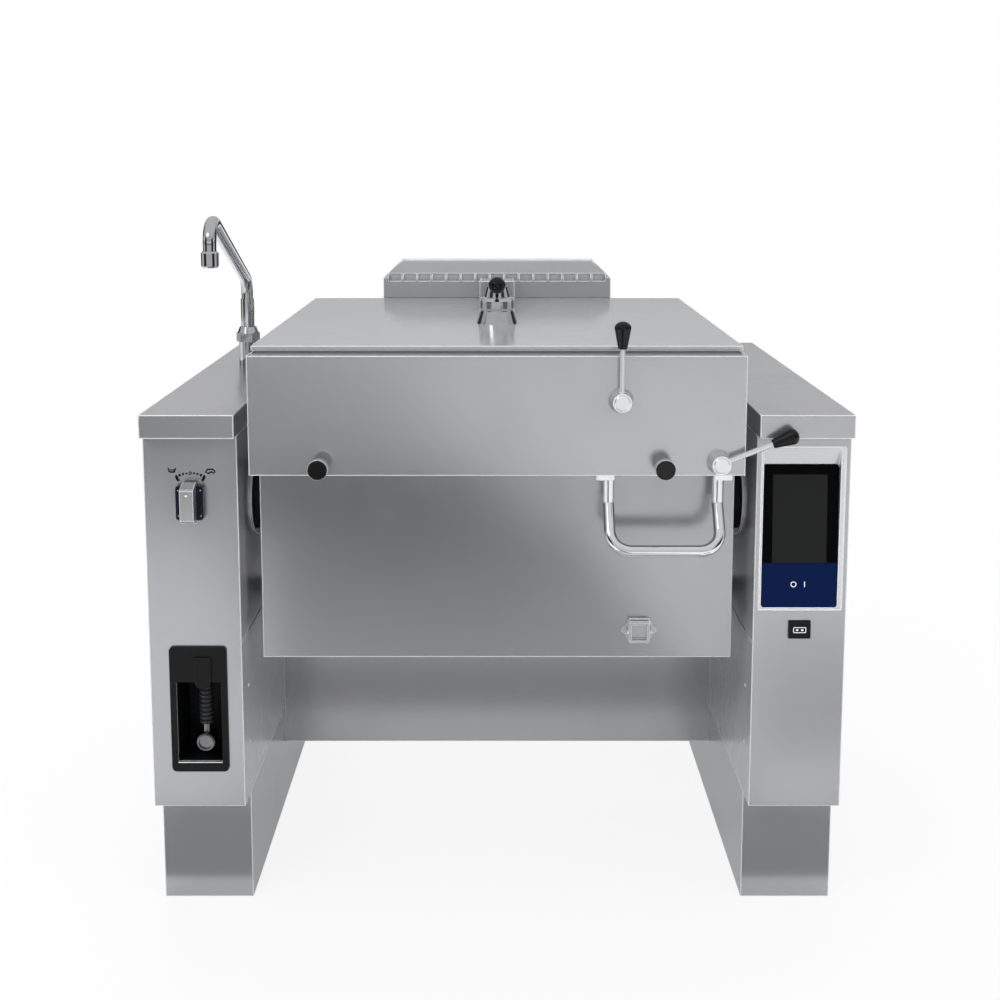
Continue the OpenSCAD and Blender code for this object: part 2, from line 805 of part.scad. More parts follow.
// The sector's teeth run from past the pinion at rest to past it at full tilt
module sector_gear() {
    step = 360 / sector_teeth;
    past_full_tilt = 86;
    past_rest = 13;
    first = -floor(past_full_tilt / step);
    last = floor(past_rest / step);
    web_r = sector_r - 1.25 * gear_module;
    hub_r = shaft_r + hub_wall;
    hole_r = (web_r - hub_r) * 0.25;
    color("gray") at_front() translate([0, axis_y, axis_z]) difference() {
        union() {
            along_x(gear_x, gear_w) polygon(concat([[0, 0]],
                [for (i = [first : last]) for (p = tooth(sector_teeth, drive_angle + i * step)) p]));
            bar_x(gear_x - 3, gear_w + 4, hub_r);
        }
        bar_x(gear_x - 5, gear_w + 10, shaft_r + run_fit);
        for (a = [-95, -67, -38]) rotate([a, 0, 0]) translate([0, (hub_r + web_r) / 2, 0])
            bar_x(gear_x - through, gear_w + 2 * through, hole_r);
    }
}

module drive_pinion() {
    step = 360 / pinion_teeth;
    shaft_end = gear_x + gear_w + 34;
    color("silver") at_front() translate([0, drive_y, drive_z]) {
        along_x(gear_x - 1, gear_w + 3) polygon([for (i = [0 : pinion_teeth - 1])
            for (p = tooth(pinion_teeth, drive_angle + 180 + (i + 0.5) * step)) p]);
        bar_x(gear_x - 4, shaft_end - gear_x + 4, drive_shaft_r);
    }
}

// Worm gearbox with its ribbed motor hanging below, both fixed to the bracket
module tilt_gearmotor() {
    box_x = gear_x + gear_w + 12;
    flange = 12;
    rib_t = 3;
    color("dimgray") at_front() translate([0, drive_y, drive_z]) difference() {
        union() {
            along_x(box_x, gearbox_l) rounded_rect(gearbox_w, gearbox_w, 12);
            translate([box_x + motor_r + 6, 0, -gearbox_w / 2 - flange]) {
                cylinder(r = motor_r + 4, h = flange);
                translate([0, 0, -motor_l]) cylinder(r = motor_r, h = motor_l);
                for (a = [0 : 30 : 330]) rotate([0, 0, a])
                    translate([motor_r - 4, -rib_t / 2, flange - motor_l])
                        cube([9, rib_t, motor_l - flange - 4]);
            }
        }
        bar_x(box_x - through, gearbox_l / 2 - 1 + through, drive_shaft_r + run_fit);
    }
}

// Tap

module tap_foot() {
    hex_h = tap_nut_h * 0.6;
    stub_l = 44;
    stub_r = tap_foot_r - 3;
    back_nut = 10;
    color("gainsboro") at_front() translate([-pillar_cx, tap_y, worktop_z]) difference() {
        union() {
            translate([0, 0, -stub_l]) cylinder(r = stub_r, h = stub_l);
            translate([0, 0, -sheet - back_nut]) cylinder(r = tap_foot_r + 6, h = back_nut, $fn = 6);
            cylinder(r = tap_foot_r, h = tap_foot_h);
            translate([0, 0, tap_foot_h]) cylinder(r = tap_nut_r, h = hex_h, $fn = 6);
            translate([0, 0, tap_foot_h + hex_h])
                cylinder(r1 = tap_nut_r - 3, r2 = spout_collar_r + 3, h = tap_nut_h - hex_h);
        }
        translate([0, 0, spout_seat_z]) cylinder(r = spout_collar_r + run_fit, h = tap_nut_h + through);
    }
}

// The spout stands in the nut, leans forward and bends down to its outlet
module tap_spout() {
    low = [spout_bend, spout_rise];
    high = [spout_reach - spout_bend, spout_top - spout_r - spout_bend];
    lean = atan2(high[1] - low[1], high[0] - low[0]);
    run = norm(high - low);
    color("gainsboro") at_front() translate([-pillar_cx, tap_y, worktop_z])
        rotate([0, 0, spout_turn - 90]) rotate([90, 0, 0]) {
            translate([0, spout_seat_z, 0]) rotate([-90, 0, 0]) {
                cylinder(r = spout_r - joint_step, h = spout_rise - spout_seat_z + lap);
                cylinder(r = spout_collar_r, h = spout_rise - spout_seat_z - spout_r);
            }
            translate(low) rotate([0, 0, 90 + lean]) rotate_extrude(angle = 90 - lean)
                translate([spout_bend, 0]) circle(spout_r);
            translate(low + spout_bend * [-sin(lean), cos(lean)]) rotate([0, 90, lean])
                translate([0, 0, -lap]) cylinder(r = spout_r - joint_step, h = run + 2 * lap);
            translate(high) rotate_extrude(angle = 90 + lean) translate([spout_bend, 0]) circle(spout_r);
            translate([spout_reach, outlet_z + outlet_l, 0]) rotate([-90, 0, 0])
                cylinder(r = spout_r - joint_step, h = high[1] - outlet_z - outlet_l + lap);
        }
}

module tap_outlet() {
    bevel = 3;
    color("gainsboro") at_front() translate([-pillar_cx, tap_y, worktop_z + outlet_z])
        rotate([0, 0, spout_turn - 90]) translate([spout_reach, 0, 0]) difference() {
            union() {
                cylinder(r1 = outlet_r - 2, r2 = outlet_r, h = bevel);
                translate([0, 0, bevel]) cylinder(r = outlet_r, h = outlet_l - 2 * bevel);
                translate([0, 0, outlet_l - bevel]) cylinder(r1 = outlet_r, r2 = spout_r + 1, h = bevel);
            }
            translate([0, 0, -through]) cylinder(r = spout_r - 2, h = outlet_l - 2 * bevel);
        }
}

// Tilt switch

module tilt_switch() {
    body = [48, 56, 36];
    color("dimgray") at_front() translate([-pillar_cx, 0, knob_z]) difference() {
        union() {
            along_y(pillar_y + sheet, body[2]) rounded_rect(body[0], body[1], 4);
            bar_y(pillar_y, sheet, knob_spindle_r + 0.9);
        }
        bar_y(pillar_y - through, 22 + through, knob_spindle_r + run_fit);
    }
}

module tilt_knob() {
    color("midnightblue") at_front() translate([-pillar_cx, 0, knob_z]) difference() {
        union() {
            along_y(knob_back - knob_t, knob_t) rounded_rect(knob_w, knob_h, 5);
            bar_y(pillar_y - 1, 20, knob_spindle_r);
        }
        along_y(knob_back - knob_t - through, knob_inlet + through)
            square([knob_grip_w + 2 * seat_fit, knob_h + 20], center = true);
    }
}

// Metal grip bar that tapers to the front, let into the knob
module knob_grip() {
    back = knob_back - knob_t + knob_inlet;
    front = pillar_y - knob_reach;
    color("silver") at_front() translate([0, 0, knob_z]) along_x(-pillar_cx - knob_grip_w / 2, knob_grip_w)
        polygon([[back, -knob_grip_h / 2], [back, knob_grip_h / 2], [back - 6, knob_grip_h / 2],
                 [front + 3, knob_tip_h / 2], [front, knob_tip_h / 2 - 3],
                 [front, 3 - knob_tip_h / 2], [front + 3, -knob_tip_h / 2], [back - 6, -knob_grip_h / 2]]);
}

// Spray

// The recess's opening with the slot for the spray's head, made larger by grow on each side
module spray_opening(y, l, grow) {
    translate([spray_x, 0, recess_z + recess_h / 2]) along_y(y, l)
        square([recess_w + 2 * grow, recess_h + 2 * grow], center = true);
    half = head_w / 2 + head_gap + grow;
    span([head_x - half, y, recess_z + recess_h / 2], [head_x + half, y + l, slot_top_z + head_gap + grow]);
}

module spray_frame() {
    color("black") at_front() difference() {
        translate([spray_x, 0, spray_z + spray_h / 2]) along_y(pillar_y - spray_frame_t, spray_frame_t)
            rounded_rect(spray_w, spray_h, spray_corner_r);
        spray_opening(pillar_y - spray_frame_t - through, spray_frame_t + 2 * through, 0);
    }
}

// Bucket behind the frame; the hose leaves it at the back
module spray_housing() {
    wall = 2;
    color("black") at_front() difference() {
        spray_opening(pillar_y + sheet, recess_d, wall);
        spray_opening(pillar_y + sheet - through, recess_d - wall + through, 0);
        translate([head_x, 0, slot_top_z - head_h / 2])
            bar_y(pillar_y + recess_d - 5, 10, hose_r + run_fit);
    }
}

module spray_head() {
    z = slot_top_z - head_h;
    color("dimgray") at_front() difference() {
        translate([head_x, 0, 0]) along_y(pillar_y - spray_frame_t - 3, 44) {
            translate([0, z + head_w / 2]) circle(head_w / 2);
            translate([-head_w / 2, z + head_w / 2]) square([head_w, head_h - head_w / 2]);
        }
        translate([head_x, 0, z + head_h / 2]) bar_y(hose_y, 20, hose_r + seat_fit);
        translate([head_x, coil_y, z - through]) cylinder(r = coil_r - 4 + seat_fit, h = 6 + through);
    }
}

// Sprung sleeve between the head and the nozzle, its core let into the head
module spray_coil() {
    pitch = coil_h / coil_turns;
    ridge = [[coil_r - 3.5, 0.02], [coil_r, 0.3], [coil_r, 0.7], [coil_r - 3.5, 0.98]];
    color("black") at_front() translate([head_x, coil_y, slot_top_z - head_h - coil_h]) {
        rotate_extrude() polygon(concat([[0, 0]],
            [for (i = [0 : coil_turns - 1], p = ridge) [p[0], (i + p[1]) * pitch]], [[0, coil_h]]));
        cylinder(r = coil_r - 4, h = coil_h + 6);
    }
}

module spray_nozzle() {
    z = slot_top_z - head_h - coil_h;
    color("gainsboro") at_front() {
        translate([head_x, 0, z - nozzle_neck - nozzle_r]) difference() {
            union() {
                bar_y(pillar_y + 3, 28, nozzle_r);
                bar_y(pillar_y, 3, nozzle_r - 1.5);
            }
            bar_y(pillar_y - through, 5, nozzle_r - 3.5);
        }
        translate([head_x, coil_y, z - nozzle_neck - 4]) cylinder(r = coil_r - 4, h = nozzle_neck + 4);
    }
}

module spray_hose() {
    color("black") at_front() translate([head_x, 0, slot_top_z - head_h / 2])
        bar_y(hose_y, hose_l, hose_r);
}

// Touch panel

// Side outline of the room for the glass, which leans back to the top
module glass_profile() {
    z = panel_z + glass_rise;
    polygon([[pillar_y, z], [pillar_y + glass_t, z], [pillar_y + glass_t + glass_lean, z + glass_h],
             [pillar_y + glass_lean, z + glass_h]]);
}

// Metal frame with the glass let in; above the glass its face slants back out
module panel_frame() {
    z = panel_z + glass_rise;
    top = panel_z + panel_h;
    color("silver") at_front() difference() {
        span([pillar_cx - panel_w / 2, pillar_y, panel_z], [pillar_cx + panel_w / 2, pillar_y + panel_d, top]);
        along_x(pillar_cx - glass_w / 2 - glass_shift, glass_w) polygon([
            [pillar_y - through, z], [pillar_y + glass_t, z], [pillar_y + glass_t + glass_lean, z + glass_h],
            [pillar_y + glass_lean, z + glass_h], [pillar_y, top], [pillar_y - through, top]]);
    }
}

module panel_glass() {
    color("black") at_front() along_x(pillar_cx - glass_w / 2 - glass_shift, glass_w) glass_profile();
}

// Data port: a socket on a face plate with two ears, and a flap that hangs between the ears

module port_socket() {
    color("dimgray") at_front() difference() {
        union() {
            span([pillar_cx - port_w / 2, pillar_y - port_plate, port_z],
                 [pillar_cx + port_w / 2, pillar_y, port_z + port_h]);
            span([pillar_cx - port_w / 2 + 3.2, pillar_y, port_z + 3.2],
                 [pillar_cx + port_w / 2 - 3.2, pillar_y + 30, port_z + port_h - 5.2]);
            for (side = [-1, 1]) translate([pillar_cx + side * (port_w / 2 - 1.5), port_pin_y, port_pin_z]) {
                bar_x(-1.5, 3, 1.8);
                span([-1.5, 0, -1.8], [1.5, pillar_y - port_pin_y, 1.8]);
            }
            translate([0, port_pin_y, port_pin_z]) bar_x(pillar_cx - port_w / 2 + 1, port_w - 2, 0.8);
        }
        span([pillar_cx - 6.5, pillar_y - port_plate - through, port_z + 11],
             [pillar_cx + 6.5, pillar_y + 14, port_z + 17]);
    }
}

module port_flap() {
    front = pillar_y - port_t;
    back = pillar_y - port_plate - 0.3;
    shoulder_z = port_pin_z - 2.8;
    color("black") at_front() difference() {
        union() {
            span([pillar_cx - port_w / 2, front, port_z], [pillar_cx + port_w / 2, back, shoulder_z]);
            span([pillar_cx - port_w / 2 + 3.3, front, shoulder_z],
                 [pillar_cx + port_w / 2 - 3.3, port_pin_y, port_pin_z]);
            translate([0, port_pin_y, port_pin_z]) bar_x(pillar_cx - port_w / 2 + 3.3, port_w - 6.6, 1.5);
        }
        translate([0, port_pin_y, port_pin_z]) bar_x(pillar_cx - port_w, 2 * port_w, 0.8 + run_fit);
    }
}

// Connections at the back

module water_inlet() {
    inside_l = 40;
    nut = 8;
    color("goldenrod") at_front() translate([-pillar_cx, 0, connection_z]) difference() {
        union() {
            bar_y(pillar_back - inside_l, inside_l, inlet_r - inlet_step);
            bar_y(pillar_back, inlet_l, inlet_r);
            translate([0, pillar_back - sheet - nut, 0]) rotate([-90, 0, 0])
                cylinder(r = inlet_r + 6, h = nut, $fn = 6);
        }
        bar_y(pillar_back - inside_l - through, inside_l + inlet_l + 2 * through, inlet_r - 3);
    }
}

module cable_gland() {
    nut = 7;
    cap = 9;
    inside_l = sheet + 12;
    color("dimgray") at_front() translate([pillar_cx, 0, connection_z]) difference() {
        union() {
            translate([0, pillar_back, 0]) rotate([-90, 0, 0]) cylinder(r = gland_r, h = nut, $fn = 6);
            bar_y(pillar_back - inside_l, inside_l, gland_bore_r + gland_wall - seat_fit);
            translate([0, pillar_back + nut, 0]) rotate([-90, 0, 0])
                cylinder(r1 = gland_r - 2, r2 = gland_bore_r + gland_wall, h = cap);
        }
        bar_y(pillar_back - inside_l - through, inside_l + nut + cap + 2 * through, gland_bore_r);
    }
}

// Pan

module vessel() {
    color("silver") at_front() translate([0, vessel_cy, 0]) difference() {
        translate([0, 0, vessel_z - vessel_floor]) linear_extrude(rim_z - deck_t - vessel_z + vessel_floor)
            rounded_rect(vessel_w + 2 * vessel_wall, vessel_d + 2 * vessel_wall, vessel_r + vessel_wall);
        translate([0, 0, vessel_z]) basin(vessel_w, vessel_d, vessel_h, vessel_r);
    }
}

// Rim plate with the pouring edge folded down at its front
module rim_deck() {
    color("silver") at_front() {
        difference() {
            span([-pan_x, pan_y - deck_t, rim_z - deck_t], [pan_x, pan_back, rim_z]);
            translate([0, vessel_cy, rim_z - deck_t - through]) linear_extrude(deck_t + 2 * through)
                rounded_rect(vessel_w, vessel_d, vessel_r);
        }
        span([-pan_x, pan_y - deck_t, rim_z - pour_h], [pan_x, pan_y, rim_z]);
    }
}

module pan_casing() {
    color("silver") at_front() difference() {
        span([-pan_x, pan_y, pan_z], [pan_x, pan_back, rim_z - deck_t]);
        span([sheet - pan_x, pan_y + sheet, pan_z + sheet], [pan_x - sheet, pan_back - sheet, rim_z]);
        translate([0, axis_y, axis_z]) bar_x(-pan_x - through, 2 * pan_x + 2 * through, shaft_r + seat_fit);
    }
}

// Side plates and cross beams that carry the vessel between the trunnions
module pan_cradle() {
    plate_x = pan_x - sheet - cradle_t;
    plate_front = 35;
    plate_rear = 140;
    beam_front = 95;
    rear_beam_y = pan_back - 230;
    window_r = 45;
    color("gray") at_front() {
        for (side = [-1, 1]) on_side(side) difference() {
            span([plate_x, pan_y + plate_front, pan_z + sheet],
                 [plate_x + cradle_t, pan_back - plate_rear, rim_z - deck_t]);
            translate([0, axis_y, axis_z]) bar_x(plate_x - through, cradle_t + 2 * through, shaft_r + seat_fit);
            for (y = [rear_beam_y - 2 * window_r - 40, rear_beam_y])
                translate([0, y, axis_z - 20]) bar_x(plate_x - through, cradle_t + 2 * through, window_r);
        }
        for (y = [pan_y + beam_front, rear_beam_y]) along_x(-plate_x, 2 * plate_x) difference() {
            translate([y, beam_top - beam_h]) square(beam_h);
            translate([y + tube_wall, beam_top - beam_h + tube_wall]) square(beam_h - 2 * tube_wall);
        }
    }
}

module heating_elements() {
    room = vessel_w - 2 * vessel_r;
    heater_w = (room - (heater_count - 1) * heater_gap) / heater_count;
    pitch = heater_w + heater_gap;
    color("dimgray") at_front() for (i = [0 : heater_count - 1])
        translate([(i - (heater_count - 1) / 2) * pitch, vessel_cy, vessel_z - vessel_floor - heater_t])
            linear_extrude(heater_t) rounded_rect(heater_w, vessel_d - 2 * vessel_r, 10);
}

module probe_socket() {
    flange = 2.5;
    ear_r = 6;
    ear_x = socket_w / 2 + ear_r + 1;
    half_w = socket_w / 2;
    half_h = socket_h / 2 + 1;
    color("silver") at_front() translate([socket_x, pan_y, pan_z + socket_rise]) {
        along_y(-flange, flange) {
            polygon([[-ear_x, -ear_r], [-half_w, -half_h], [half_w, -half_h], [ear_x, -ear_r],
                     [ear_x, ear_r], [half_w, half_h], [-half_w, half_h], [-ear_x, ear_r]]);
            for (x = [-ear_x, ear_x]) translate([x, 0]) circle(ear_r);
        }
        difference() {
            along_y(-socket_d, socket_d) rounded_rect(socket_w, socket_h, 3);
            translate([0, 0, -2]) along_y(-socket_d - through, socket_d - 3 + through)
                rounded_rect(socket_w - 8, socket_h - 12, 2);
        }
        span([-socket_w / 2, -socket_d - 3, socket_h / 2 - 4], [socket_w / 2, -socket_d, socket_h / 2]);
    }
}

// Lid hinge: pairs of brackets on the pan, the shaft and two springs around it

module hinge_brackets() {
    shaft_x = hinge_x + arm_w / 2 + arm_gap + bracket_t;
    color("silver") at_front() {
        for (side = [-1, 1]) on_side(side) {
            along_x(hinge_x - arm_w / 2 - arm_gap - bracket_t, bracket_t) bracket_profile();
            along_x(hinge_x + arm_w / 2 + arm_gap, bracket_t) bracket_profile();
        }
        along_x(-anchor_w / 2, anchor_w) bracket_profile();
        translate([0, hinge_y, hinge_z]) bar_x(-shaft_x, 2 * shaft_x, hinge_r);
    }
}

// Side outline of a bracket, from its foot on the pan's back to its eye
module bracket_profile() {
    translate([hinge_y, hinge_z]) circle(hinge_eye_r);
    top_z = rim_z - deck_t;
    polygon([[pan_back, top_z - bracket_h], [pan_back + bracket_d, top_z - bracket_h + 40],
             [hinge_y + hinge_eye_r, hinge_z], [hinge_y - hinge_eye_r, hinge_z],
             [lid_back + 4, top_z], [pan_back, top_z]]);
}

// A wire coiled along X: a polyhedron with one ring of points after another
module coil(l, r, wire, turns) {
    sides = 6;
    steps = turns * 14;
    rings = [for (i = [0 : steps]) let (a = i * 360 * turns / steps, x = wire + (l - 2 * wire) * i / steps)
        for (j = [0 : sides - 1]) let (b = 360 * j / sides, q = r + wire * cos(b))
            [x + wire * sin(b), q * cos(a), q * sin(a)]];
    sleeve = [for (i = [0 : steps - 1], j = [0 : sides - 1]) let (k = (j + 1) % sides)
        [i * sides + j, i * sides + k, (i + 1) * sides + k, (i + 1) * sides + j]];
    ends = [[for (j = [sides - 1 : -1 : 0]) j], [for (j = [0 : sides - 1]) steps * sides + j]];
    polyhedron(rings, concat(sleeve, ends));
}

module balance_springs() {
    l = hinge_x - arm_w / 2 - arm_gap - bracket_t - anchor_w / 2;
    color("dimgray") at_front() for (side = [-1, 1]) on_side(side)
        translate([anchor_w / 2, hinge_y, hinge_z]) coil(l, spring_r, spring_wire_r, spring_turns);
}

// Lid

// Box of folded sheet with the deep box in front of the pan and the cover plate on top
module lid_shell() {
    in_x = lid_x - sheet;
    color("silver") at_front() {
        difference() {
            union() {
                span([-lid_x, lid_y, apron_z], [lid_x, lid_y + apron_d, ledge_z]);
                span([-lid_x, lid_y, lid_z], [lid_x, lid_back, ledge_z]);
            }
            span([-in_x, lid_y + sheet, lid_z + sheet], [in_x, lid_back - sheet, ledge_z - sheet]);
            span([-in_x, lid_y + sheet, apron_z + sheet], [in_x, lid_y + apron_d - sheet, lid_z + 2 * sheet]);
            span([-in_x, lid_y + apron_d, lid_z - through], [in_x, lid_back - sheet, lid_z + 2 * sheet]);
            translate([lock_x, 0, lock_z]) bar_y(lid_y - through, 2 * through + sheet, spindle_r + run_fit);
            translate([steam_x, 0, steam_z]) bar_y(lid_y - through, 2 * through + sheet, spindle_r + run_fit);
        }
        for (side = [-1, 1]) on_side(side) hinge_arm();
    }
}

// Cover plate, folded down at its edges, on a spacer that is let in
module lid_cover() {
    y = lid_y + cover_y;
    spacer_x = lid_x - cover_inset;
    spacer_w = 20;
    color("silver") at_front() {
        difference() {
            span([-lid_x, y, cover_z - cover_t], [lid_x, lid_back, cover_z]);
            span([sheet - lid_x, y + sheet, ledge_z], [lid_x - sheet, lid_back - sheet, cover_z - sheet]);
        }
        difference() {
            span([-spacer_x, y + cover_inset, ledge_z], [spacer_x, lid_back - cover_inset, cover_z - sheet]);
            span([spacer_w - spacer_x, y + cover_inset + spacer_w, ledge_z - through],
                 [spacer_x - spacer_w, lid_back - cover_inset - spacer_w, cover_z - sheet / 2]);
        }
    }
}

module hinge_arm() {
    along_x(hinge_x - arm_w / 2, arm_w) difference() {
        union() {
            translate([hinge_y, hinge_z]) circle(hinge_eye_r);
            polygon([[lid_back - sheet / 2, hinge_z - 45], [hinge_y, hinge_z - hinge_eye_r],
                     [hinge_y, hinge_z + hinge_eye_r], [lid_back - sheet / 2, hinge_z + 45]]);
        }
        translate([hinge_y, hinge_z]) circle(hinge_r + run_fit);
    }
}

// Duct along the cover plate into the hood
module steam_duct() {
    y = hood_y - duct_l;
    difference() {
        along_x(-duct_w / 2, duct_w) polygon([[y, cover_z], [y, cover_z + duct_front_h],
            [hood_y, cover_z + duct_back_h], [hood_y, cover_z]]);
        along_x(sheet - duct_w / 2, duct_w - 2 * sheet) polygon([[y + sheet, cover_z + sheet],
            [y + sheet, cover_z + duct_front_h - sheet], [hood_y - sheet, cover_z + duct_back_h - sheet],
            [hood_y - sheet, cover_z + sheet]]);
    }
}

// Inner skin of the lid with the groove for its seal
module lid_liner() {
    w = vessel_w + 2 * gasket_out;
    d = vessel_d + 2 * gasket_out;
    groove_z = rim_z + gasket_gap + gasket_h;
    color("silver") at_front() difference() {
        union() {
            span([sheet - lid_x, lid_y + apron_d, lid_z], [lid_x - sheet, lid_back - sheet, lid_z + sheet]);
            translate([0, vessel_cy, lid_z]) linear_extrude(groove_z + sheet - lid_z)
                seal_ring(w - 2 * sheet, d - 2 * sheet, gasket_w + 2 * sheet);
        }
        translate([0, vessel_cy, lid_z - through]) linear_extrude(groove_z - lid_z + through)
            seal_ring(w, d, gasket_w);
    }
}

// A ring around the vessel's mouth, its hole w by d and its band b wide
module seal_ring(w, d, b) {
    difference() {
        rounded_rect(w + 2 * b, d + 2 * b, vessel_r + b);
        rounded_rect(w, d, vessel_r);
    }
}

module lid_gasket() {
    color("black") at_front() translate([0, vessel_cy, rim_z + gasket_gap]) linear_extrude(gasket_h)
        seal_ring(vessel_w + 2 * gasket_out + seat_fit, vessel_d + 2 * gasket_out + seat_fit,
                  gasket_w - seat_fit);
}

// Hood behind the lid: a hipped box with slots over its front fold
module hood_form(inset, z) {
    fold_z = cover_z + hood_fold_h - inset * 0.6;
    top_z = cover_z + hood_fold_h + hood_slope_h - inset;
    half = hood_w / 2 - inset;
    intersection() {
        along_x(-half, 2 * half) polygon([[hood_y + inset, z], [hood_y + inset, fold_z],
            [hood_y + hood_d - inset, top_z], [hood_y + hood_d - inset, z]]);
        along_y(hood_y, hood_d) polygon([[-half, z], [-half, fold_z], [hood_slope_h - half, top_z],
            [half - hood_slope_h, top_z], [half, fold_z], [half, z]]);
    }
}

module steam_hood() {
    low_z = ledge_z - hood_drop;
    slot_z = cover_z + hood_fold_h - slot_front_h;
    color("silver") at_front() {
        difference() {
            hood_form(0, low_z);
            hood_form(sheet, low_z - through);
            for (i = [0 : slot_count - 1]) translate([(i - (slot_count - 1) / 2) * slot_pitch, 0, 0])
                span([-slot_w / 2, hood_y - through, slot_z],
                     [slot_w / 2, hood_y + slot_top_d, cover_z + hood_fold_h + hood_slope_h]);
        }
        for (x = [foot_side - hood_w / 2, hood_w / 2 - foot_side])
            span([x - foot_w / 2, lid_back, low_z], [x + foot_w / 2, hood_y, ledge_z]);
        steam_duct();
    }
}

// Handle and bumpers

module lid_handle() {
    y = lid_y + handle_y;
    top_z = apron_z - handle_plate_t;
    lean = atan2(handle_reach, handle_fall);
    drop = norm([handle_reach, handle_fall]);
    half = handle_w / 2;
    tube_r = handle_r - joint_step;
    plate_d = 2 * handle_r + 6;
    color("gainsboro") at_front() {
        for (side = [-1, 1]) translate([handle_x + side * half, y, top_z]) {
            translate([0, 0, -handle_leg]) cylinder(r = tube_r, h = handle_leg);
            translate([0, 0, -handle_leg]) sphere(handle_r);
            translate([side * (handle_plate_w - plate_d), 0, 0]) linear_extrude(handle_plate_t)
                rounded_rect(handle_plate_w, plate_d, 3);
        }
        translate([handle_x, y, top_z - handle_leg]) rotate([-lean, 0, 0]) {
            for (side = [-1, 1]) translate([side * half, 0, handle_bend - drop])
                translate([0, 0, -lap]) cylinder(r = tube_r, h = drop - handle_bend + lap);
            translate([0, 0, -drop]) bar_x(handle_bend - half - lap, 2 * (half - handle_bend + lap), tube_r);
            for (side = [-1, 1]) translate([side * (half - handle_bend), 0, handle_bend - drop])
                rotate([90, 0, 0]) rotate([0, 0, side > 0 ? -90 : 180])
                    rotate_extrude(angle = 90) translate([handle_bend, 0]) circle(handle_r);
        }
    }
}

module lid_bumpers() {
    color("black") at_front() for (x = bumper_xs) translate([x, 0, apron_z + bumper_rise]) {
        bar_y(lid_y - bumper_reach + bumper_t / 2, bumper_reach - bumper_t / 2, bumper_stem_r);
        translate([0, lid_y - bumper_reach, 0]) rotate([-90, 0, 0]) {
            cylinder(r1 = bumper_r - 2, r2 = bumper_r, h = 2);
            translate([0, 0, 2]) cylinder(r = bumper_r, h = bumper_t - 2);
        }
    }
}

// Safety valve

module safety_valve() {
    pin_z = valve_h + pin_rise;
    color("gainsboro") at_front() translate([0, lid_y + valve_y, cover_z]) {
        rotate_extrude() polygon([[0, 0], [valve_foot_r, 0], [valve_r - 2, 24], [valve_r - 2, 26],
            [valve_r, 30], [valve_r, 44], [valve_r - 3, 49], [valve_r - 9, 51],
            [valve_r - 14, valve_h], [0, valve_h]]);
        for (x = [-7, 4]) difference() {
            along_x(x, 3) {
                translate([0, pin_z]) circle(5);
                translate([-5, valve_h - 4]) square([10, pin_z - valve_h + 4]);
            }
        }
        translate([0, 0, pin_z]) bar_x(-7, 14, 2);
    }
}

module valve_lever() {
    z = cover_z + valve_h + pin_rise;
    color("black") at_front() translate([0, lid_y + valve_y, z]) {
        difference() {
            union() {
                along_x(-3.5, 7) circle(5);
                bar_y(-valve_lever_l, valve_lever_l, 3.4);
            }
            bar_x(-10, 20, 2 + run_fit);
        }
        translate([0, -valve_lever_l, 0]) sphere(ball_r);
    }
}

// Levers on the lid's front

// Outline of a grip with a rounded head
module grip_profile() {
    head = grip_head_r * 0.8;
    polygon(concat([[0, 0], [grip_foot_r - 1, 0], [grip_foot_r, 1.5]],
        [for (a = [0 : 15 : 90]) [grip_head_r * cos(a), grip_l - head + head * sin(a)]]));
}

// A lever that points up: hub, spindle with its cam, and the rod that ends in the grip
module lever(l) {
    spindle_l = 26;
    rotate([-90, 0, 0]) {
        translate([0, 0, -hub_l]) cylinder(r1 = hub_front_r, r2 = hub_r, h = hub_l - 0.3);
        translate([0, 0, -hub_l - 1.5]) cylinder(r1 = hub_front_r - 4, r2 = hub_front_r - 2, h = 1.5);
        translate([0, 0, -1]) cylinder(r = spindle_r, h = spindle_l);
        translate([0, 0, spindle_l / 2 - 1]) cylinder(r = spindle_r + 8, h = cam_t);
    }
    translate([0, lever_y - lid_y, 0]) cylinder(r = lever_rod_r, h = l - grip_l / 2);
}

module lever_grip(l) {
    translate([0, lever_y - lid_y, l - grip_l]) difference() {
        rotate_extrude() grip_profile();
        translate([0, 0, -through]) cylinder(r = lever_rod_r + seat_fit, h = grip_l / 2 + through);
    }
}

module at_lock() { translate([lock_x, lid_y, lock_z]) rotate([0, 90 - lock_angle, 0]) children(); }
module at_steam() { translate([steam_x, lid_y, steam_z]) children(); }

module lock_lever() { color("gainsboro") at_front() at_lock() lever(lock_l); }
module lock_grip() { color("black") at_front() at_lock() lever_grip(lock_l); }
module steam_lever() { color("gainsboro") at_front() at_steam() lever(steam_l); }
module steam_grip() { color("black") at_front() at_steam() lever_grip(steam_l); }

// The sub-parts that each pillar has
module left_plinth() { plinth(-1); }
module right_plinth() { plinth(1); }
module left_frame() { pillar_frame(-1); }
module right_frame() { pillar_frame(1); }
module left_side_panels() { side_panels(-1); }
module right_side_panels() { side_panels(1); }
module left_back_panel() { back_panel(-1); }
module right_back_panel() { back_panel(1); }
module left_worktop() { worktop(-1); }
module right_worktop() { worktop(1); }

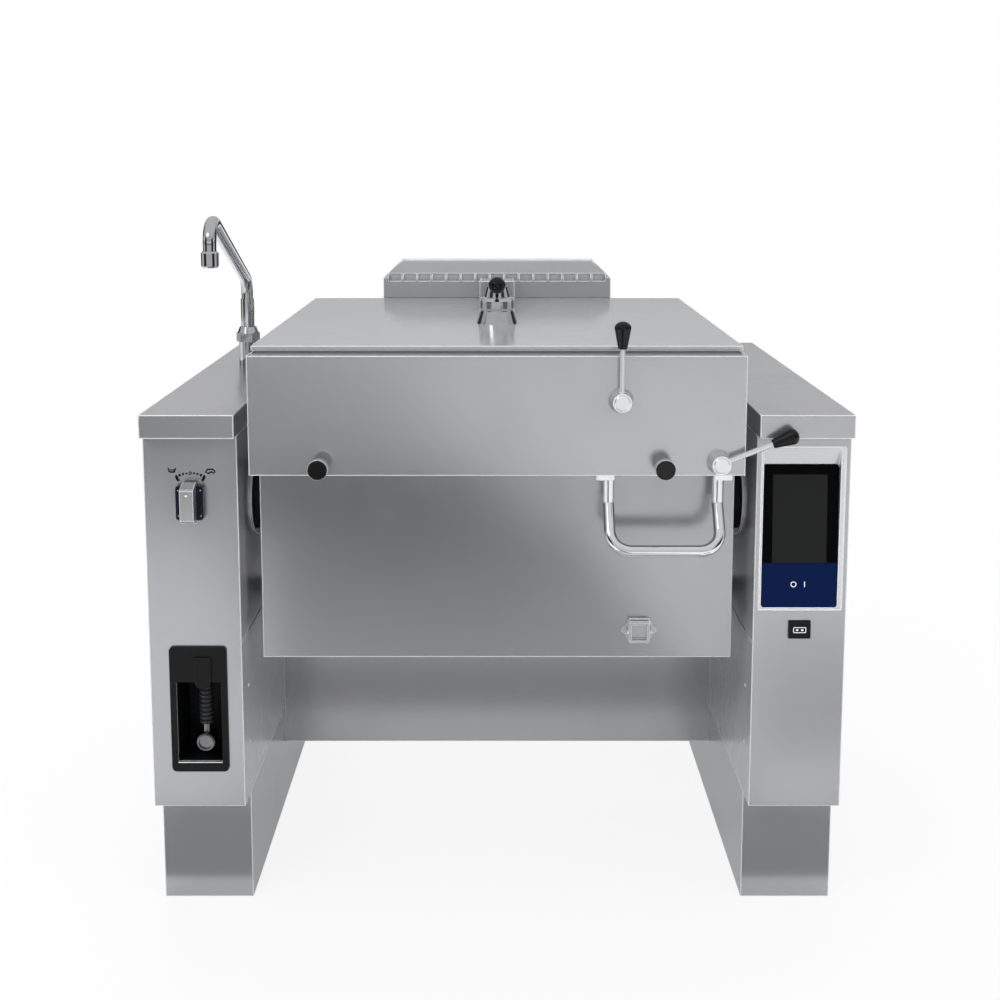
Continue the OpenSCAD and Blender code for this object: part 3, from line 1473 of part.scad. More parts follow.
left_plinth();
right_plinth();
left_frame();
right_frame();
left_front_panel();
right_front_panel();
left_side_panels();
right_side_panels();
left_back_panel();
right_back_panel();
left_worktop();
right_worktop();
bridge_cover();
bridge_beams();
trunnion_bearings();
trunnion_collars();
tilt_gearmotor();
drive_pinion();
tap_foot();
tap_spout();
tap_outlet();
tilt_switch();
tilt_knob();
knob_grip();
spray_frame();
spray_housing();
spray_head();
spray_coil();
spray_nozzle();
spray_hose();
panel_frame();
panel_glass();
port_socket();
port_flap();
water_inlet();
cable_gland();
vessel();
rim_deck();
pan_casing();
pan_cradle();
heating_elements();
trunnion_shafts();
trunnion_seals();
sector_gear();
probe_socket();
hinge_brackets();
balance_springs();
lid_shell();
lid_cover();
lid_liner();
lid_gasket();
steam_hood();
lid_handle();
lid_bumpers();
safety_valve();
valve_lever();
lock_lever();
lock_grip();
steam_lever();
steam_grip();
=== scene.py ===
import math

import bmesh
import bpy
from mathutils import Matrix, Vector


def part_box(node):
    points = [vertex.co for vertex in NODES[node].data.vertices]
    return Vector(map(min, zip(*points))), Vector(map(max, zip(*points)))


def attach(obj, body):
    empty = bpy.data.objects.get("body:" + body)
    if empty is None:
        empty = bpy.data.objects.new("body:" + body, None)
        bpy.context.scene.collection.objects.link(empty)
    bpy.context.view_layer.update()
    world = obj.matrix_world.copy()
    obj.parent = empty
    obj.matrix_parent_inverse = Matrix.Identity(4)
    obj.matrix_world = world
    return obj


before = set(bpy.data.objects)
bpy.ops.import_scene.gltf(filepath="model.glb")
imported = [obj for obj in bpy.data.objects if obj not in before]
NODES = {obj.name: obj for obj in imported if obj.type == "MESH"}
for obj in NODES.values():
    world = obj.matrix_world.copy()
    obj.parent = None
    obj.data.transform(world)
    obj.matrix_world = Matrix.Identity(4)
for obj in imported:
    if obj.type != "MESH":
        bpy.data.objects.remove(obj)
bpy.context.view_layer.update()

MM = 0.001
FORWARD = (0, -1, 0)
BLACK = (0, 0, 0, 1)
WHITE = (1, 1, 1, 1)


# Shader values and nodes

class Value:
    """The output of a node, which can be used in sums as a number is."""

    def __init__(self, shader, socket):
        self.shader = shader
        self.socket = socket

    def join(self, operation, first, second=0.0):
        return self.shader.node("ShaderNodeMath", {"operation": operation}, {0: first, 1: second})

    def __add__(self, other):
        return self.join("ADD", self, other)

    def __sub__(self, other):
        return self.join("SUBTRACT", self, other)

    def __rsub__(self, other):
        return self.join("SUBTRACT", other, self)

    def __mul__(self, other):
        return self.join("MULTIPLY", self, other)

    def __abs__(self):
        return self.join("ABSOLUTE", self)

    __radd__ = __add__
    __rmul__ = __mul__


class Shader:
    """A material or world whose nodes are written as Python expressions."""

    def __init__(self, name, world=False):
        self.owner = (bpy.data.worlds if world else bpy.data.materials).new(name)
        self.owner.use_nodes = True
        self.tree = self.owner.node_tree
        self.surface = self.tree.nodes["Background" if world else "Principled BSDF"]
        self.end = self.tree.nodes["World Output" if world else "Material Output"]

    def node(self, kind, settings=None, inputs=None, output=0):
        """A node of this kind, given its settings first, then its sockets' values and links."""
        made = self.tree.nodes.new(kind)
        for name, setting in (settings or {}).items():
            setattr(made, name, setting)
        for name, value in (inputs or {}).items():
            self.set(made.inputs[name], value)
        return Value(self, made.outputs[output])

    def set(self, socket, value):
        if isinstance(value, Value):
            self.tree.links.new(value.socket, socket)
        else:
            socket.default_value = value

    def finish(self, **sockets):
        """Fills the main shader's sockets, with spaces in their names written as underscores."""
        for name, value in sockets.items():
            self.set(self.surface.inputs[name.replace("_", " ")], value)
        return self.owner

    def vector(self, operation, *vectors, output="Vector"):
        return self.node("ShaderNodeVectorMath", {"operation": operation},
                         dict(enumerate(vectors)), output)

    def place(self, stretch=(1, 1, 1)):
        """Coordinates on the object in metres, stretched so that a noise turns into a grain."""
        return self.vector("MULTIPLY", self.node("ShaderNodeTexCoord", output="Object"), stretch)

    def along(self, axis):
        """The coordinate on the object along X, Y or Z, in metres."""
        return self.node("ShaderNodeSeparateXYZ", None, {0: self.place()}, axis)

    def noise(self, where, scale=1.0, detail=3.0, roughness=0.55):
        return self.node("ShaderNodeTexNoise", None, {
            "Vector": where, "Scale": scale, "Detail": detail, "Roughness": roughness})

    def mix(self, share, first, second):
        return self.node("ShaderNodeMix", {"data_type": "RGBA"},
                         {0: share, 6: first, 7: second}, output=2)

    def limit(self, value, low=0.0, high=1.0):
        """The value brought from low..high to 0..1 and kept there."""
        return self.node("ShaderNodeMapRange", {"clamp": True},
                         {"Value": value, "From Min": low, "From Max": high})

    def rounded(self, radius):
        """(normal of edges rounded by radius in mm, 1 on such an edge and 0 on flats)."""
        soft = self.node("ShaderNodeBevel", {"samples": 8}, {"Radius": radius * MM})
        flat = self.node("ShaderNodeNewGeometry", output="True Normal")
        alike = self.vector("DOT_PRODUCT", soft, flat, output="Value")
        return soft, self.limit(1 - alike, 0.004, 0.06)

    def bump(self, height, depth, strength, normal=None):
        """The normal of a surface with this relief, its depth in mm, over another normal."""
        inputs = {"Height": height, "Distance": depth * MM, "Strength": strength}
        if normal is not None:
            inputs["Normal"] = normal
        return self.node("ShaderNodeBump", None, inputs)


def grey(tone, warmth=0.0):
    """A grey of this tone, a trace blue as rolled steel is, or warmer."""
    return (tone * (1 + warmth), tone * 1.012, min(tone * 1.045 * (1 - 2 * warmth), 1), 1)


def tinted(colour, factor=1.0, more=0.0):
    """A colour of red, green and blue made brighter or darker, with its alpha."""
    return (*[min(c * factor + more, 1) for c in colour], 1)


# Finishes: edges and depths of relief in millimetres

def brushed_sheet(name, tone, grain, rough=0.23, edge_highlight_tone=0.95, edge=3, metal=0.8):
    """Satin stainless sheet: a grain along one axis, faint clouding, and a painted highlight on its
    folds, which are coloured pale and made less metallic.
    """

    def stretch(along, across):
        return [along if axis == grain else across for axis in "xyz"]

    s = Shader(name)
    lines = s.noise(s.place(stretch(along=7, across=430)), detail=4, roughness=0.7)
    fine = s.noise(s.place(stretch(along=25, across=1500)), detail=2)
    clouds = s.noise(s.place(), scale=2.6, detail=4)
    smears = s.limit(s.noise(s.place((5, 5, 3)), scale=2.0, detail=6, roughness=0.65), 0.5, 0.78)
    soft, lit_edge = s.rounded(edge)
    streak = lines * 0.65 + fine * 0.35
    patches = s.limit(streak * 0.5 + clouds * 0.5, 0.3, 0.7)
    colour = s.mix(patches, grey(tone * 0.96), grey(tone * 1.04))
    # Painted highlight: the rounded folds get a pale colour, less metal and more roughness, so that
    # they shine as lit edges.
    return s.finish(
        Base_Color=s.mix(lit_edge, colour, grey(edge_highlight_tone)),
        Metallic=metal - lit_edge * (metal - 0.1),
        Roughness=rough - 0.03 + streak * 0.06 + smears * 0.05 + lit_edge * 0.12,
        Normal=s.bump(lines, 0.02, 0.3, soft))


def polished(name, tone, rough, edge=0.6):
    """Chrome plate or polished steel with a faint film of handling; edge 0 keeps edges crisp."""
    s = Shader(name)
    film = s.limit(s.noise(s.place(), scale=38, roughness=0.6), 0.42, 0.75)
    soft = s.rounded(edge)[0] if edge else None
    ripple = s.noise(s.place(), scale=25, detail=1)
    return s.finish(
        Base_Color=s.mix(film * 0.5, grey(tone), grey(tone * 0.88)), Metallic=1.0,
        Roughness=rough + film * 0.04, Normal=s.bump(ripple, 0.02, 0.15, soft))


def turned(name, tone, centre, rough=0.3):
    """Machined steel, with rings round an axis along X through centre, where it was turned, and a
    painted highlight on its edges.
    """
    s = Shader(name)
    away = s.vector("MULTIPLY", s.vector("SUBTRACT", s.place(), centre), (0, 1, 1))
    radius = s.vector("LENGTH", away, output="Value")
    rings = s.node("ShaderNodeTexNoise", {"noise_dimensions": "1D"}, {"W": radius, "Scale": 1300.0})
    oil = s.limit(s.noise(s.place(), scale=14, detail=5), 0.45, 0.7)
    soft, lit_edge = s.rounded(0.8)
    colour = s.mix(rings, grey(tone * 0.86, 0.01), grey(tone * 1.1, 0.01))
    colour = s.mix(oil * 0.5, colour, tinted((0.72, 0.66, 0.56), tone))
    # Painted highlight: the rounded edges are coloured pale grey so that they shine.
    return s.finish(
        Base_Color=s.mix(lit_edge * 0.7, colour, grey(0.8)), Metallic=1.0,
        Roughness=rough + rings * 0.12 - oil * 0.06, Normal=s.bump(rings, 0.1, 0.5, soft))


def moulded(name, colour, wear_and_sheen, rough=0.42, depth=0.06, shine=0.3):
    """Moulded plastic with a fine skin, a little paler at its edges, partly where they are rubbed
    and partly as a painted highlight.
    """
    s = Shader(name)
    skin = s.noise(s.place(), scale=1400, detail=2)
    touch = s.limit(s.noise(s.place(), scale=22, detail=5, roughness=0.6), 0.45, 0.75)
    soft, lit_edge = s.rounded(0.8)
    base = s.mix(touch * 0.4 + skin * 0.2, tinted(colour), tinted(colour, 1.35, 0.002))
    # The paler edges are partly rubbed wear and partly a painted highlight.
    return s.finish(
        Base_Color=s.mix(lit_edge * 0.6, base, tinted(wear_and_sheen)), Specular_IOR_Level=shine,
        Roughness=rough + skin * 0.08 - touch * 0.08, Normal=s.bump(skin, depth, 0.6, soft))


def dark_glass(name):
    """Back-printed black glass with a trace of wiping on it."""
    s = Shader(name)
    wipes = s.noise(s.place((30, 30, 9)), scale=3, detail=6, roughness=0.65)
    wipes = s.limit(wipes, 0.48, 0.8)
    return s.finish(
        Base_Color=s.mix(wipes, (0.0006, 0.0006, 0.0009, 1), (0.0018, 0.0018, 0.0022, 1)),
        Specular_IOR_Level=0.03, Roughness=0.08 + wipes * 0.1, Normal=s.rounded(0.8)[0])


def printed(name, colour, rough=0.35):
    """A printed or set-in sign, a little uneven in its ink."""
    s = Shader(name)
    ink = s.noise(s.place(), scale=900, detail=2)
    return s.finish(
        Base_Color=s.mix(ink, tinted(colour, 0.88), tinted(colour, 1.08)),
        Specular_IOR_Level=0.03, Roughness=rough + ink * 0.1)


def seal_rubber(name):
    """Black rubber with fine pits and a little dust."""
    s = Shader(name)
    pits = s.noise(s.place(), scale=700)
    dust = s.limit(s.noise(s.place(), scale=16, detail=5), 0.5, 0.8)
    return s.finish(
        Base_Color=s.mix(dust * 0.5, (0.006, 0.006, 0.0065, 1), (0.02, 0.0195, 0.019, 1)),
        Specular_IOR_Level=0.3, Roughness=0.55 + pits * 0.2, Normal=s.bump(pits, 0.1, 0.6))


def hammered_paint(name, colour):
    """Enamel with small dimples, paler at its edges, partly where they are rubbed and partly as a
    painted highlight.
    """
    s = Shader(name)
    dimples = s.node("ShaderNodeTexVoronoi", {"feature": "SMOOTH_F1"},
                     {"Vector": s.place(), "Scale": 240.0}, output="Distance")
    patches = s.noise(s.place(), scale=9, detail=5)
    soft, lit_edge = s.rounded(1)
    base = s.mix(patches, tinted(colour, 0.8), tinted(colour, 1.2))
    # The paler edges are partly rubbed wear and partly a painted highlight.
    return s.finish(
        Base_Color=s.mix(lit_edge * 0.5, base, grey(0.42)),
        Roughness=0.32 + patches * 0.14, Normal=s.bump(dimples, 0.4, 0.7, soft))


def cast_metal(name, colour):
    """Rough cast or drawn metal that has darkened a little, with a painted highlight on its edges.
    """
    s = Shader(name)
    skin = s.noise(s.place(), scale=520, detail=4, roughness=0.65)
    stain = s.limit(s.noise(s.place(), scale=11, detail=6, roughness=0.6), 0.4, 0.75)
    soft, lit_edge = s.rounded(0.8)
    base = s.mix(stain * 0.6, tinted(colour), tinted(colour, 0.5))
    # Painted highlight: the rounded edges are coloured brighter so that they shine.
    return s.finish(
        Base_Color=s.mix(lit_edge * 0.5, base, tinted(colour, 1.5)), Metallic=1.0,
        Roughness=0.42 + skin * 0.16 + stain * 0.1, Normal=s.bump(skin, 0.25, 0.6, soft))


def middle(node):
    """The centre of a node's box, in metres."""
    low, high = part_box(node)
    return (low + high) / 2


turning_axis = middle("trunnion_collars")

upright_sheet = brushed_sheet("satin_sheet_upright", 0.45, "z")
across_sheet = brushed_sheet("satin_sheet_across", 0.48, "x", rough=0.2, metal=0.86)
# Painted shade: the pan casing gets a darker copy of the satin sheet, for the shade under the lid.
shaded_casing_sheet = brushed_sheet("shaded_casing_sheet", 0.41, "x", rough=0.19, metal=0.88)
lengthwise_sheet = brushed_sheet("satin_sheet_lengthwise", 0.45, "y")
cover_sheet = brushed_sheet("cover_sheet", 0.57, "y")
panel_sheet = brushed_sheet("panel_sheet", 0.65, "x", rough=0.2)
# Painted light: the side panels get a paler, less metallic copy of the satin sheet, to lift the
# shade in the narrow gaps beside the pan.
lightened_side_sheet = brushed_sheet("lightened_side_sheet", 0.52, "z", metal=0.52)
fitting_sheet = brushed_sheet("fitting_sheet", 0.50, "x", edge=1.2)
cooking_plate = brushed_sheet("cooking_plate", 0.40, "x", rough=0.36, edge_highlight_tone=0.7)
bare_frame = brushed_sheet("welded_tube", 0.28, "z", rough=0.42, edge_highlight_tone=0.5)
dull_edges = brushed_sheet("bracket_steel", 0.36, "y", rough=0.32, edge_highlight_tone=0.7)
lever_steel = brushed_sheet("polished_lever", 0.74, "z", rough=0.18, edge=1.5, metal=0.75)
grip_metal = brushed_sheet("grip_metal", 0.52, "z", rough=0.2, edge=1.8)
chrome = polished("chrome_plate", 0.62, rough=0.05, edge=0)
handle_steel = polished("handle_steel", 0.88, rough=0.08)
nozzle_metal = polished("nozzle_metal", 0.20, rough=0.14)
bearing_steel = turned("turned_steel", 0.40, turning_axis)
gear_steel = turned("gear_steel", 0.36, turning_axis, rough=0.34)
black_case = moulded("black_moulding", (0.004, 0.0043, 0.005), (0.045, 0.045, 0.048), shine=0.2)
black_ribs = moulded("black_ribbed_hose", (0.014, 0.015, 0.017), (0.10, 0.10, 0.105), rough=0.3)
black_ball = moulded("black_ball", (0.003, 0.003, 0.0033), (0.012, 0.012, 0.012),
                     rough=0.12, depth=0.02)
navy_block = moulded("navy_moulding", (0.0012, 0.0014, 0.010), (0.06, 0.065, 0.14),
                     rough=0.16, depth=0.02)
glass = dark_glass("black_glass")
rubber = seal_rubber("seal_rubber")
motor_paint = hammered_paint("motor_paint", (0.06, 0.07, 0.08))
heater_metal = cast_metal("heater_metal", (0.42, 0.42, 0.43))
pipe_brass = cast_metal("pipe_brass", (0.58, 0.40, 0.15))
spring_wire = cast_metal("spring_wire", (0.13, 0.135, 0.15))
black_print = printed("black_print", (0.004, 0.004, 0.005))
white_print = printed("white_print", (0.90, 0.91, 0.93))
screen_print = printed("screen_grey", (0.016, 0.0165, 0.017), rough=0.12)
navy_print = printed("navy_strip", (0.0026, 0.0105, 0.056), rough=0.14)

FINISHES = {
    upright_sheet: ["left_plinth", "right_plinth", "left_front_panel", "right_front_panel",
                    "left_back_panel", "right_back_panel"],
    lightened_side_sheet: ["left_side_panels", "right_side_panels"],
    panel_sheet: ["panel_frame"],
    across_sheet: ["bridge_cover", "lid_shell", "lid_liner", "steam_hood"],
    shaded_casing_sheet: ["pan_casing"],
    fitting_sheet: ["probe_socket"],
    lengthwise_sheet: ["left_worktop", "right_worktop"],
    cover_sheet: ["lid_cover"],
    cooking_plate: ["vessel", "rim_deck"],
    bare_frame: ["left_frame", "right_frame", "bridge_beams", "pan_cradle"],
    dull_edges: ["hinge_brackets"],
    chrome: ["tap_foot", "tap_spout", "tap_outlet", "safety_valve"],
    handle_steel: ["lid_handle"],
    lever_steel: ["lock_lever", "steam_lever", "trunnion_collars"],
    bearing_steel: ["trunnion_bearings", "trunnion_shafts"],
    gear_steel: ["sector_gear", "drive_pinion"],
    grip_metal: ["knob_grip"],
    black_case: ["spray_frame", "spray_housing", "spray_head", "port_socket", "port_flap",
                 "cable_gland", "tilt_switch"],
    black_ribs: ["spray_coil", "spray_hose"],
    black_ball: ["valve_lever", "lock_grip", "steam_grip", "lid_bumpers"],
    navy_block: ["tilt_knob"],
    glass: ["panel_glass"],
    rubber: ["trunnion_seals", "lid_gasket"],
    motor_paint: ["tilt_gearmotor"],
    heater_metal: ["heating_elements"],
    pipe_brass: ["water_inlet"],
    spring_wire: ["balance_springs"],
    nozzle_metal: ["spray_nozzle"],
}
for finish, dressed in FINISHES.items():
    for node in dressed:
        for slot in NODES[node].material_slots:
            slot.material = finish


# Mesh tools: outlines, radii and thicknesses are in the units of the frame they are drawn in

def mesh_object(name, mesh, finish):
    """An object of this name and finish from a bmesh."""
    data = bpy.data.meshes.new(name)
    mesh.to_mesh(data)
    mesh.free()
    data.materials.append(finish)
    made = bpy.data.objects.new(name, data)
    bpy.context.scene.collection.objects.link(made)
    return made


def facing(point, normal, up=(0, 0, 1)):
    """A frame in mm at a point given in metres: z is normal, and y as near to up as it can be."""
    z = Vector(normal).normalized()
    x = Vector(up).cross(z).normalized()
    turn = Matrix((x, z.cross(x), z)).transposed().to_4x4()
    return Matrix.Translation(point) @ turn @ Matrix.Scale(MM, 4)


def moved(place, x, y, z=0):
    return place @ Matrix.Translation((x, y, z))


def rectangle(left, bottom, right, top):
    return [(left, bottom), (right, bottom), (right, top), (left, top)]


def oval(w, h, x, y, steps):
    """Points of an oval with half axes w and h about (x, y)."""
    turns = [2 * math.pi * i / steps for i in range(steps)]
    return [(x + w * math.cos(a), y + h * math.sin(a)) for a in turns]


def arc(radius, start, end, steps=3):
    """Points of an arc about (0, 0); angles in degrees from +y, clockwise."""
    turns = [math.radians(start + (end - start) * i / steps) for i in range(steps + 1)]
    return [(radius * math.sin(a), radius * math.cos(a)) for a in turns]


def rounded_outline(w, h, r, low=None):
    """Outline of a plate w by h about (0, 0), its corners of radius r, or low for lower ones."""
    steps = 6
    low = r if low is None else low
    points = []
    for sx, sy, turn, radius in (
            (1, 1, 0, r), (-1, 1, 90, r), (-1, -1, 180, low), (1, -1, 270, low)):
        for i in range(steps + 1):
            a = math.radians(turn + 90 * i / steps)
            points.append((sx * (w / 2 - radius) + radius * math.cos(a),
                           sy * (h / 2 - radius) + radius * math.sin(a)))
    return points


def slab(mesh, outline, place, thick):
    """A plate with this outline of (x, y) points, from 0 to thick along the z of place."""
    low = [mesh.verts.new(place @ Vector((x, y, 0))) for x, y in outline]
    high = [mesh.verts.new(place @ Vector((x, y, thick))) for x, y in outline]
    mesh.faces.new(low[::-1])
    mesh.faces.new(high)
    for i in range(len(outline)):
        j = (i + 1) % len(outline)
        mesh.faces.new((low[i], low[j], high[j], high[i]))


def lathe(mesh, profile, place, steps=18, closed=False):
    """A round piece with this outline of (radius, height) points about the z of place."""
    rings = []
    for r, h in profile:
        ring = oval(r, r, 0, 0, steps) if r else [(0, 0)]
        rings.append([mesh.verts.new(place @ Vector((x, y, h))) for x, y in ring])
    for a, b in zip(rings, rings[1:] + rings[:1] if closed else rings[1:]):
        for i in range(steps):
            j = (i + 1) % steps
            corners = [a[i % len(a)], a[j % len(a)], b[j % len(b)], b[i % len(b)]]
            mesh.faces.new(list(dict.fromkeys(corners)))


# Small pieces: frames and sizes in millimetres

INK_THICK = 0.15
FILM_THICK = 0.2
SAME_HEIGHT = 0.01 * MM


def piece(name, mesh, finish, body, smooth=False):
    """A new piece of the object, which rides on a body; smooth keeps only its sharp edges."""
    bmesh.ops.recalc_face_normals(mesh, faces=mesh.faces)
    made = mesh_object(name, mesh, finish)
    if smooth:
        for face in made.data.polygons:
            face.use_smooth = True
        made.data.set_sharp_from_angle(angle=math.radians(35))
    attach(made, body)


def front_of(node):
    """A frame in the middle of a node's front, with x to the right and y up."""
    centre = middle(node)
    return facing((centre.x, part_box(node)[0].y, centre.z), FORWARD)


def points_of(node):
    """The places of a node's vertices, in metres."""
    return [v.co for v in NODES[node].data.vertices]


def band(mesh, path, width, place, closed=False):
    """A printed line of this width along a path of (x, y) points."""
    points = [Vector(p) for p in path]
    count = len(points)
    left, right = [], []
    for i, p in enumerate(points):
        before = points[i - 1] if i or closed else p
        after = points[(i + 1) % count] if i < count - 1 or closed else p
        way = (after - before).normalized()
        side = Vector((-way.y, way.x)) * width / 2
        left.append(p + side)
        right.append(p - side)
    for i in range(count if closed else count - 1):
        j = (i + 1) % count
        slab(mesh, [left[i], left[j], right[j], right[i]], place, INK_THICK)


def screw(mesh, place, r, h):
    """A domed screw head with a socket, standing on the xy plane of place."""
    dome = [(r, 0), (r, h * 0.35), (r * 0.86, h * 0.72), (r * 0.62, h)]
    lathe(mesh, dome + [(r * 0.5, h), (r * 0.5, h * 0.3), (0, h * 0.3)], place)


# The stand's small pieces

PILLAR_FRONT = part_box("left_front_panel")[0].y


def tilt_scale():
    """Dashes that grow to the ends of an arc, a ring on top, a basin and a tilted pan."""
    marks = bmesh.new()
    knob = middle("knob_grip")
    place = facing((knob.x, PILLAR_FRONT, knob.z), FORWARD)
    radius = 49
    for side in (-1, 1):
        for n, start in enumerate((6, 12.4, 19.4)):
            stop = start + 3.4 + 0.6 * n
            band(marks, arc(radius, side * start, side * stop), 3.2 + 0.5 * n, place)
        band(marks, arc(radius, side * 26.4, side * 30.8), 4.8, place)
        hook = math.radians(side * 29.4)
        way = Vector((math.sin(hook), math.cos(hook)))
        band(marks, [way * radius, way * (radius - 8.5)], 4.4, place)
    band(marks, oval(1.9, 2.6, 0, radius, 20), 1.5, place, closed=True)

    basin_place = moved(place, -31, 54)
    basin = [(-7, 3.2), (-5.6, 2.6), (-4.6, -2), (-2.6, -3),
             (2.6, -3), (4.6, -2), (5.6, 2.6), (7, 3.2)]
    band(marks, basin, 2.7, basin_place)
    band(marks, [(-3.2, 0.6), (3.2, 0.6)], 1.8, basin_place)
    tilted = [(-8, -1.2), (-4.5, 3.6), (4.6, 3.6), (8.4, -0.4),
              (5.2, -3.4), (2.2, -0.4), (-3.2, -3.4)]
    band(marks, tilted, 2.6, moved(place, 34, 52), closed=True)
    piece("tilt_scale", marks, black_print, "stand")


def knob_mark():
    """The pointed white mark on the tilt switch's grip."""
    mark = bmesh.new()
    outline = [(-2, -1.2), (0, -2), (2, -1.2), (2, 1.2), (-2, 1.2)]
    slab(mark, outline, moved(front_of("knob_grip"), 0, 18), FILM_THICK)
    piece("knob_mark", mark, white_print, "knob")


def knob_pins():
    """A pin in each corner of the tilt switch's block."""
    pins = bmesh.new()
    for x in (-19, 19):
        for y in (-22, 22):
            screw(pins, moved(front_of("tilt_knob"), x, y), 1.0, 0.5)
    piece("knob_pins", pins, grip_metal, "knob", smooth=True)


def glass_frame():
    """(frame at the foot of the touch panel's leaning glass, its width, its height), in mm."""
    low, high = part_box("panel_glass")
    points = points_of("panel_glass")
    lean = (max(p.y for p in points if abs(p.z - high.z) < SAME_HEIGHT)
            - max(p.y for p in points if abs(p.z - low.z) < SAME_HEIGHT))
    up = Vector((0, lean, high.z - low.z))
    place = facing(((low.x + high.x) / 2, low.y, low.z), (0, -up.z, up.y), up)
    return place, (high.x - low.x) / MM, up.length / MM


def touch_panel():
    """The blue strip with its two signs, the screen above it and the rounded corners."""
    place, width, height = glass_frame()
    strip_h = 77
    strip = bmesh.new()
    outline = rounded_outline(width - 1, strip_h, 0.3, low=6)
    slab(strip, outline, moved(place, 0, strip_h / 2 + 0.6), FILM_THICK)
    piece("blue_strip", strip, navy_print, "stand")

    screen = bmesh.new()
    slab(screen, rounded_outline(93, 153, 0.8), moved(place, -0.5, strip_h + 77.5), FILM_THICK)
    piece("display_screen", screen, screen_print, "stand")

    signs = bmesh.new()
    sign_place = moved(place, 0, 40.5, FILM_THICK)
    band(signs, oval(4.3, 4.3, -9.5, 0, 28), 1.4, sign_place, closed=True)
    band(signs, [(9.5, -4.9), (9.5, 4.9)], 1.5, sign_place)
    piece("power_signs", signs, white_print, "stand")

    corners = bmesh.new()
    corner_r, steps = 6, 8
    turns = [math.pi / 2 * i / steps for i in range(steps + 1)]
    curve = [(corner_r * (1 - math.sin(a)), corner_r * (1 - math.cos(a))) for a in turns]
    for x, y, turn in ((-0.5, 0, 0), (0.5, 0, 90), (0.5, 1, 180), (-0.5, 1, 270)):
        quarter = Matrix.Rotation(math.radians(turn), 4, "Z")
        slab(corners, [(0, 0)] + curve[::-1], moved(place, x * width, y * height) @ quarter, 0.5)
    piece("panel_corners", corners, panel_sheet, "stand")


def port_sign():
    """A plain drawing of a socket on the flap of the data port."""
    sign = bmesh.new()
    place = front_of("port_flap")
    band(sign, rounded_outline(21, 9, 1.2), 1.2, place, closed=True)
    for x in (-4.4, 4.4):
        slab(sign, rectangle(x - 1.9, -1.5, x + 1.9, 1.5), place, INK_THICK)
    piece("port_sign", sign, white_print, "port_cover")


def side_screws():
    """Two screws on the inner side of each pillar, one above the other."""
    screws = bmesh.new()
    inner_x = abs(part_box("left_side_panels")[1].x)
    for side in (-1, 1):
        for z in (0.400, 0.296):
            place = facing((side * inner_x, PILLAR_FRONT + 52 * MM, z), (-side, 0, 0))
            screw(screws, place, 3.4, 1.6)
    piece("side_screws", screws, grip_metal, "stand", smooth=True)


def recess_lip():
    """The lower lip of the spray's recess."""
    lip = bmesh.new()
    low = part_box("spray_frame")[0]
    place = facing((middle("spray_frame").x, low.y, low.z), FORWARD)
    slab(lip, rounded_outline(77, 1.8, 0.8), moved(place, 0, 17), 0.5)
    piece("recess_lip", lip, lever_steel, "stand")


# The pan's and the lid's small pieces

def probe_screws():
    """Two screws on the flange of the probe socket, each on the metal that is there."""
    screws = bmesh.new()
    centre = middle("probe_socket")
    for side in (-1, 1):
        x = centre.x + side * 20.5 * MM
        y = min(p.y for p in points_of("probe_socket") if abs(p.x - x) < 5 * MM)
        screw(screws, facing((x, y, centre.z), FORWARD), 2.6, 1.3)
    piece("probe_screws", screws, grip_metal, "pan", smooth=True)


def handle_screws():
    """Two screws under each of the handle's plates."""
    screws = bmesh.new()
    centre = middle("lid_handle")
    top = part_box("lid_handle")[1].z
    plates = [p for p in points_of("lid_handle") if abs(p.z - top) < SAME_HEIGHT]
    plate_y = sum(p.y for p in plates) / len(plates)
    for side in (-1, 1):
        xs = [p.x for p in plates if side * (p.x - centre.x) > 0]
        x = (min(xs) + max(xs)) / 2 + side * 6 * MM
        for shift in (-9, 9):
            place = facing((x, plate_y + shift * MM, top - 10 * MM), (0, 0, -1), (0, 1, 0))
            screw(screws, place, 2.6, 1.6)
    piece("handle_screws", screws, grip_metal, "lid", smooth=True)


def bumper_sleeves():
    """Steel sleeves round the stems and caps of the two bumpers."""
    sleeves = bmesh.new()
    low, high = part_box("lid_bumpers")
    cap_r = (high.z - low.z) / 2
    lid_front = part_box("lid_shell")[0].y
    profile = [(6.4, 0), (6.4, 30.4), (16.9, 30.4), (16.9, 42.6),
               (16.4, 43), (16.4, 31), (6.1, 31), (6.1, 0)]
    for x in (low.x + cap_r, high.x - cap_r):
        place = facing((x, lid_front, low.z + cap_r), FORWARD)
        lathe(sleeves, profile, place, steps=40, closed=True)
    piece("bumper_sleeves", sleeves, lever_steel, "lid", smooth=True)


def hood_baffle():
    """The sheet behind the hood's slots."""
    sheet = bmesh.new()
    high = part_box("steam_hood")[1]
    place = facing((0, high.y - 36 * MM, high.z - 54 * MM), FORWARD)
    slab(sheet, rectangle(-248, 0, 248, 21), place, 0.8)
    piece("hood_baffle", sheet, lightened_side_sheet, "lid")


tilt_scale()
knob_mark()
knob_pins()
touch_panel()
port_sign()
side_screws()
probe_screws()
handle_screws()
bumper_sleeves()
recess_lip()
hood_baffle()


# Studio, in metres: the floor, and what only reflections show

CARD_THICK = 0.01


def glowing(s, colour, share=1.0):
    """Mixes a plain glow of this colour into the shader's surface."""
    glow = s.node("ShaderNodeEmission", None, {"Color": colour, "Strength": 1.0})
    plain = Value(s, s.surface.outputs[0])
    both = s.node("ShaderNodeMixShader", None, {0: share, 1: plain, 2: glow})
    s.set(s.end.inputs["Surface"], both)
    return s.owner


def seen_by(s, *kinds):
    """1 where a ray of one of these kinds meets the surface, or else 0."""
    return s.limit(sum(s.node("ShaderNodeLightPath", output=f"Is {kind} Ray") for kind in kinds))


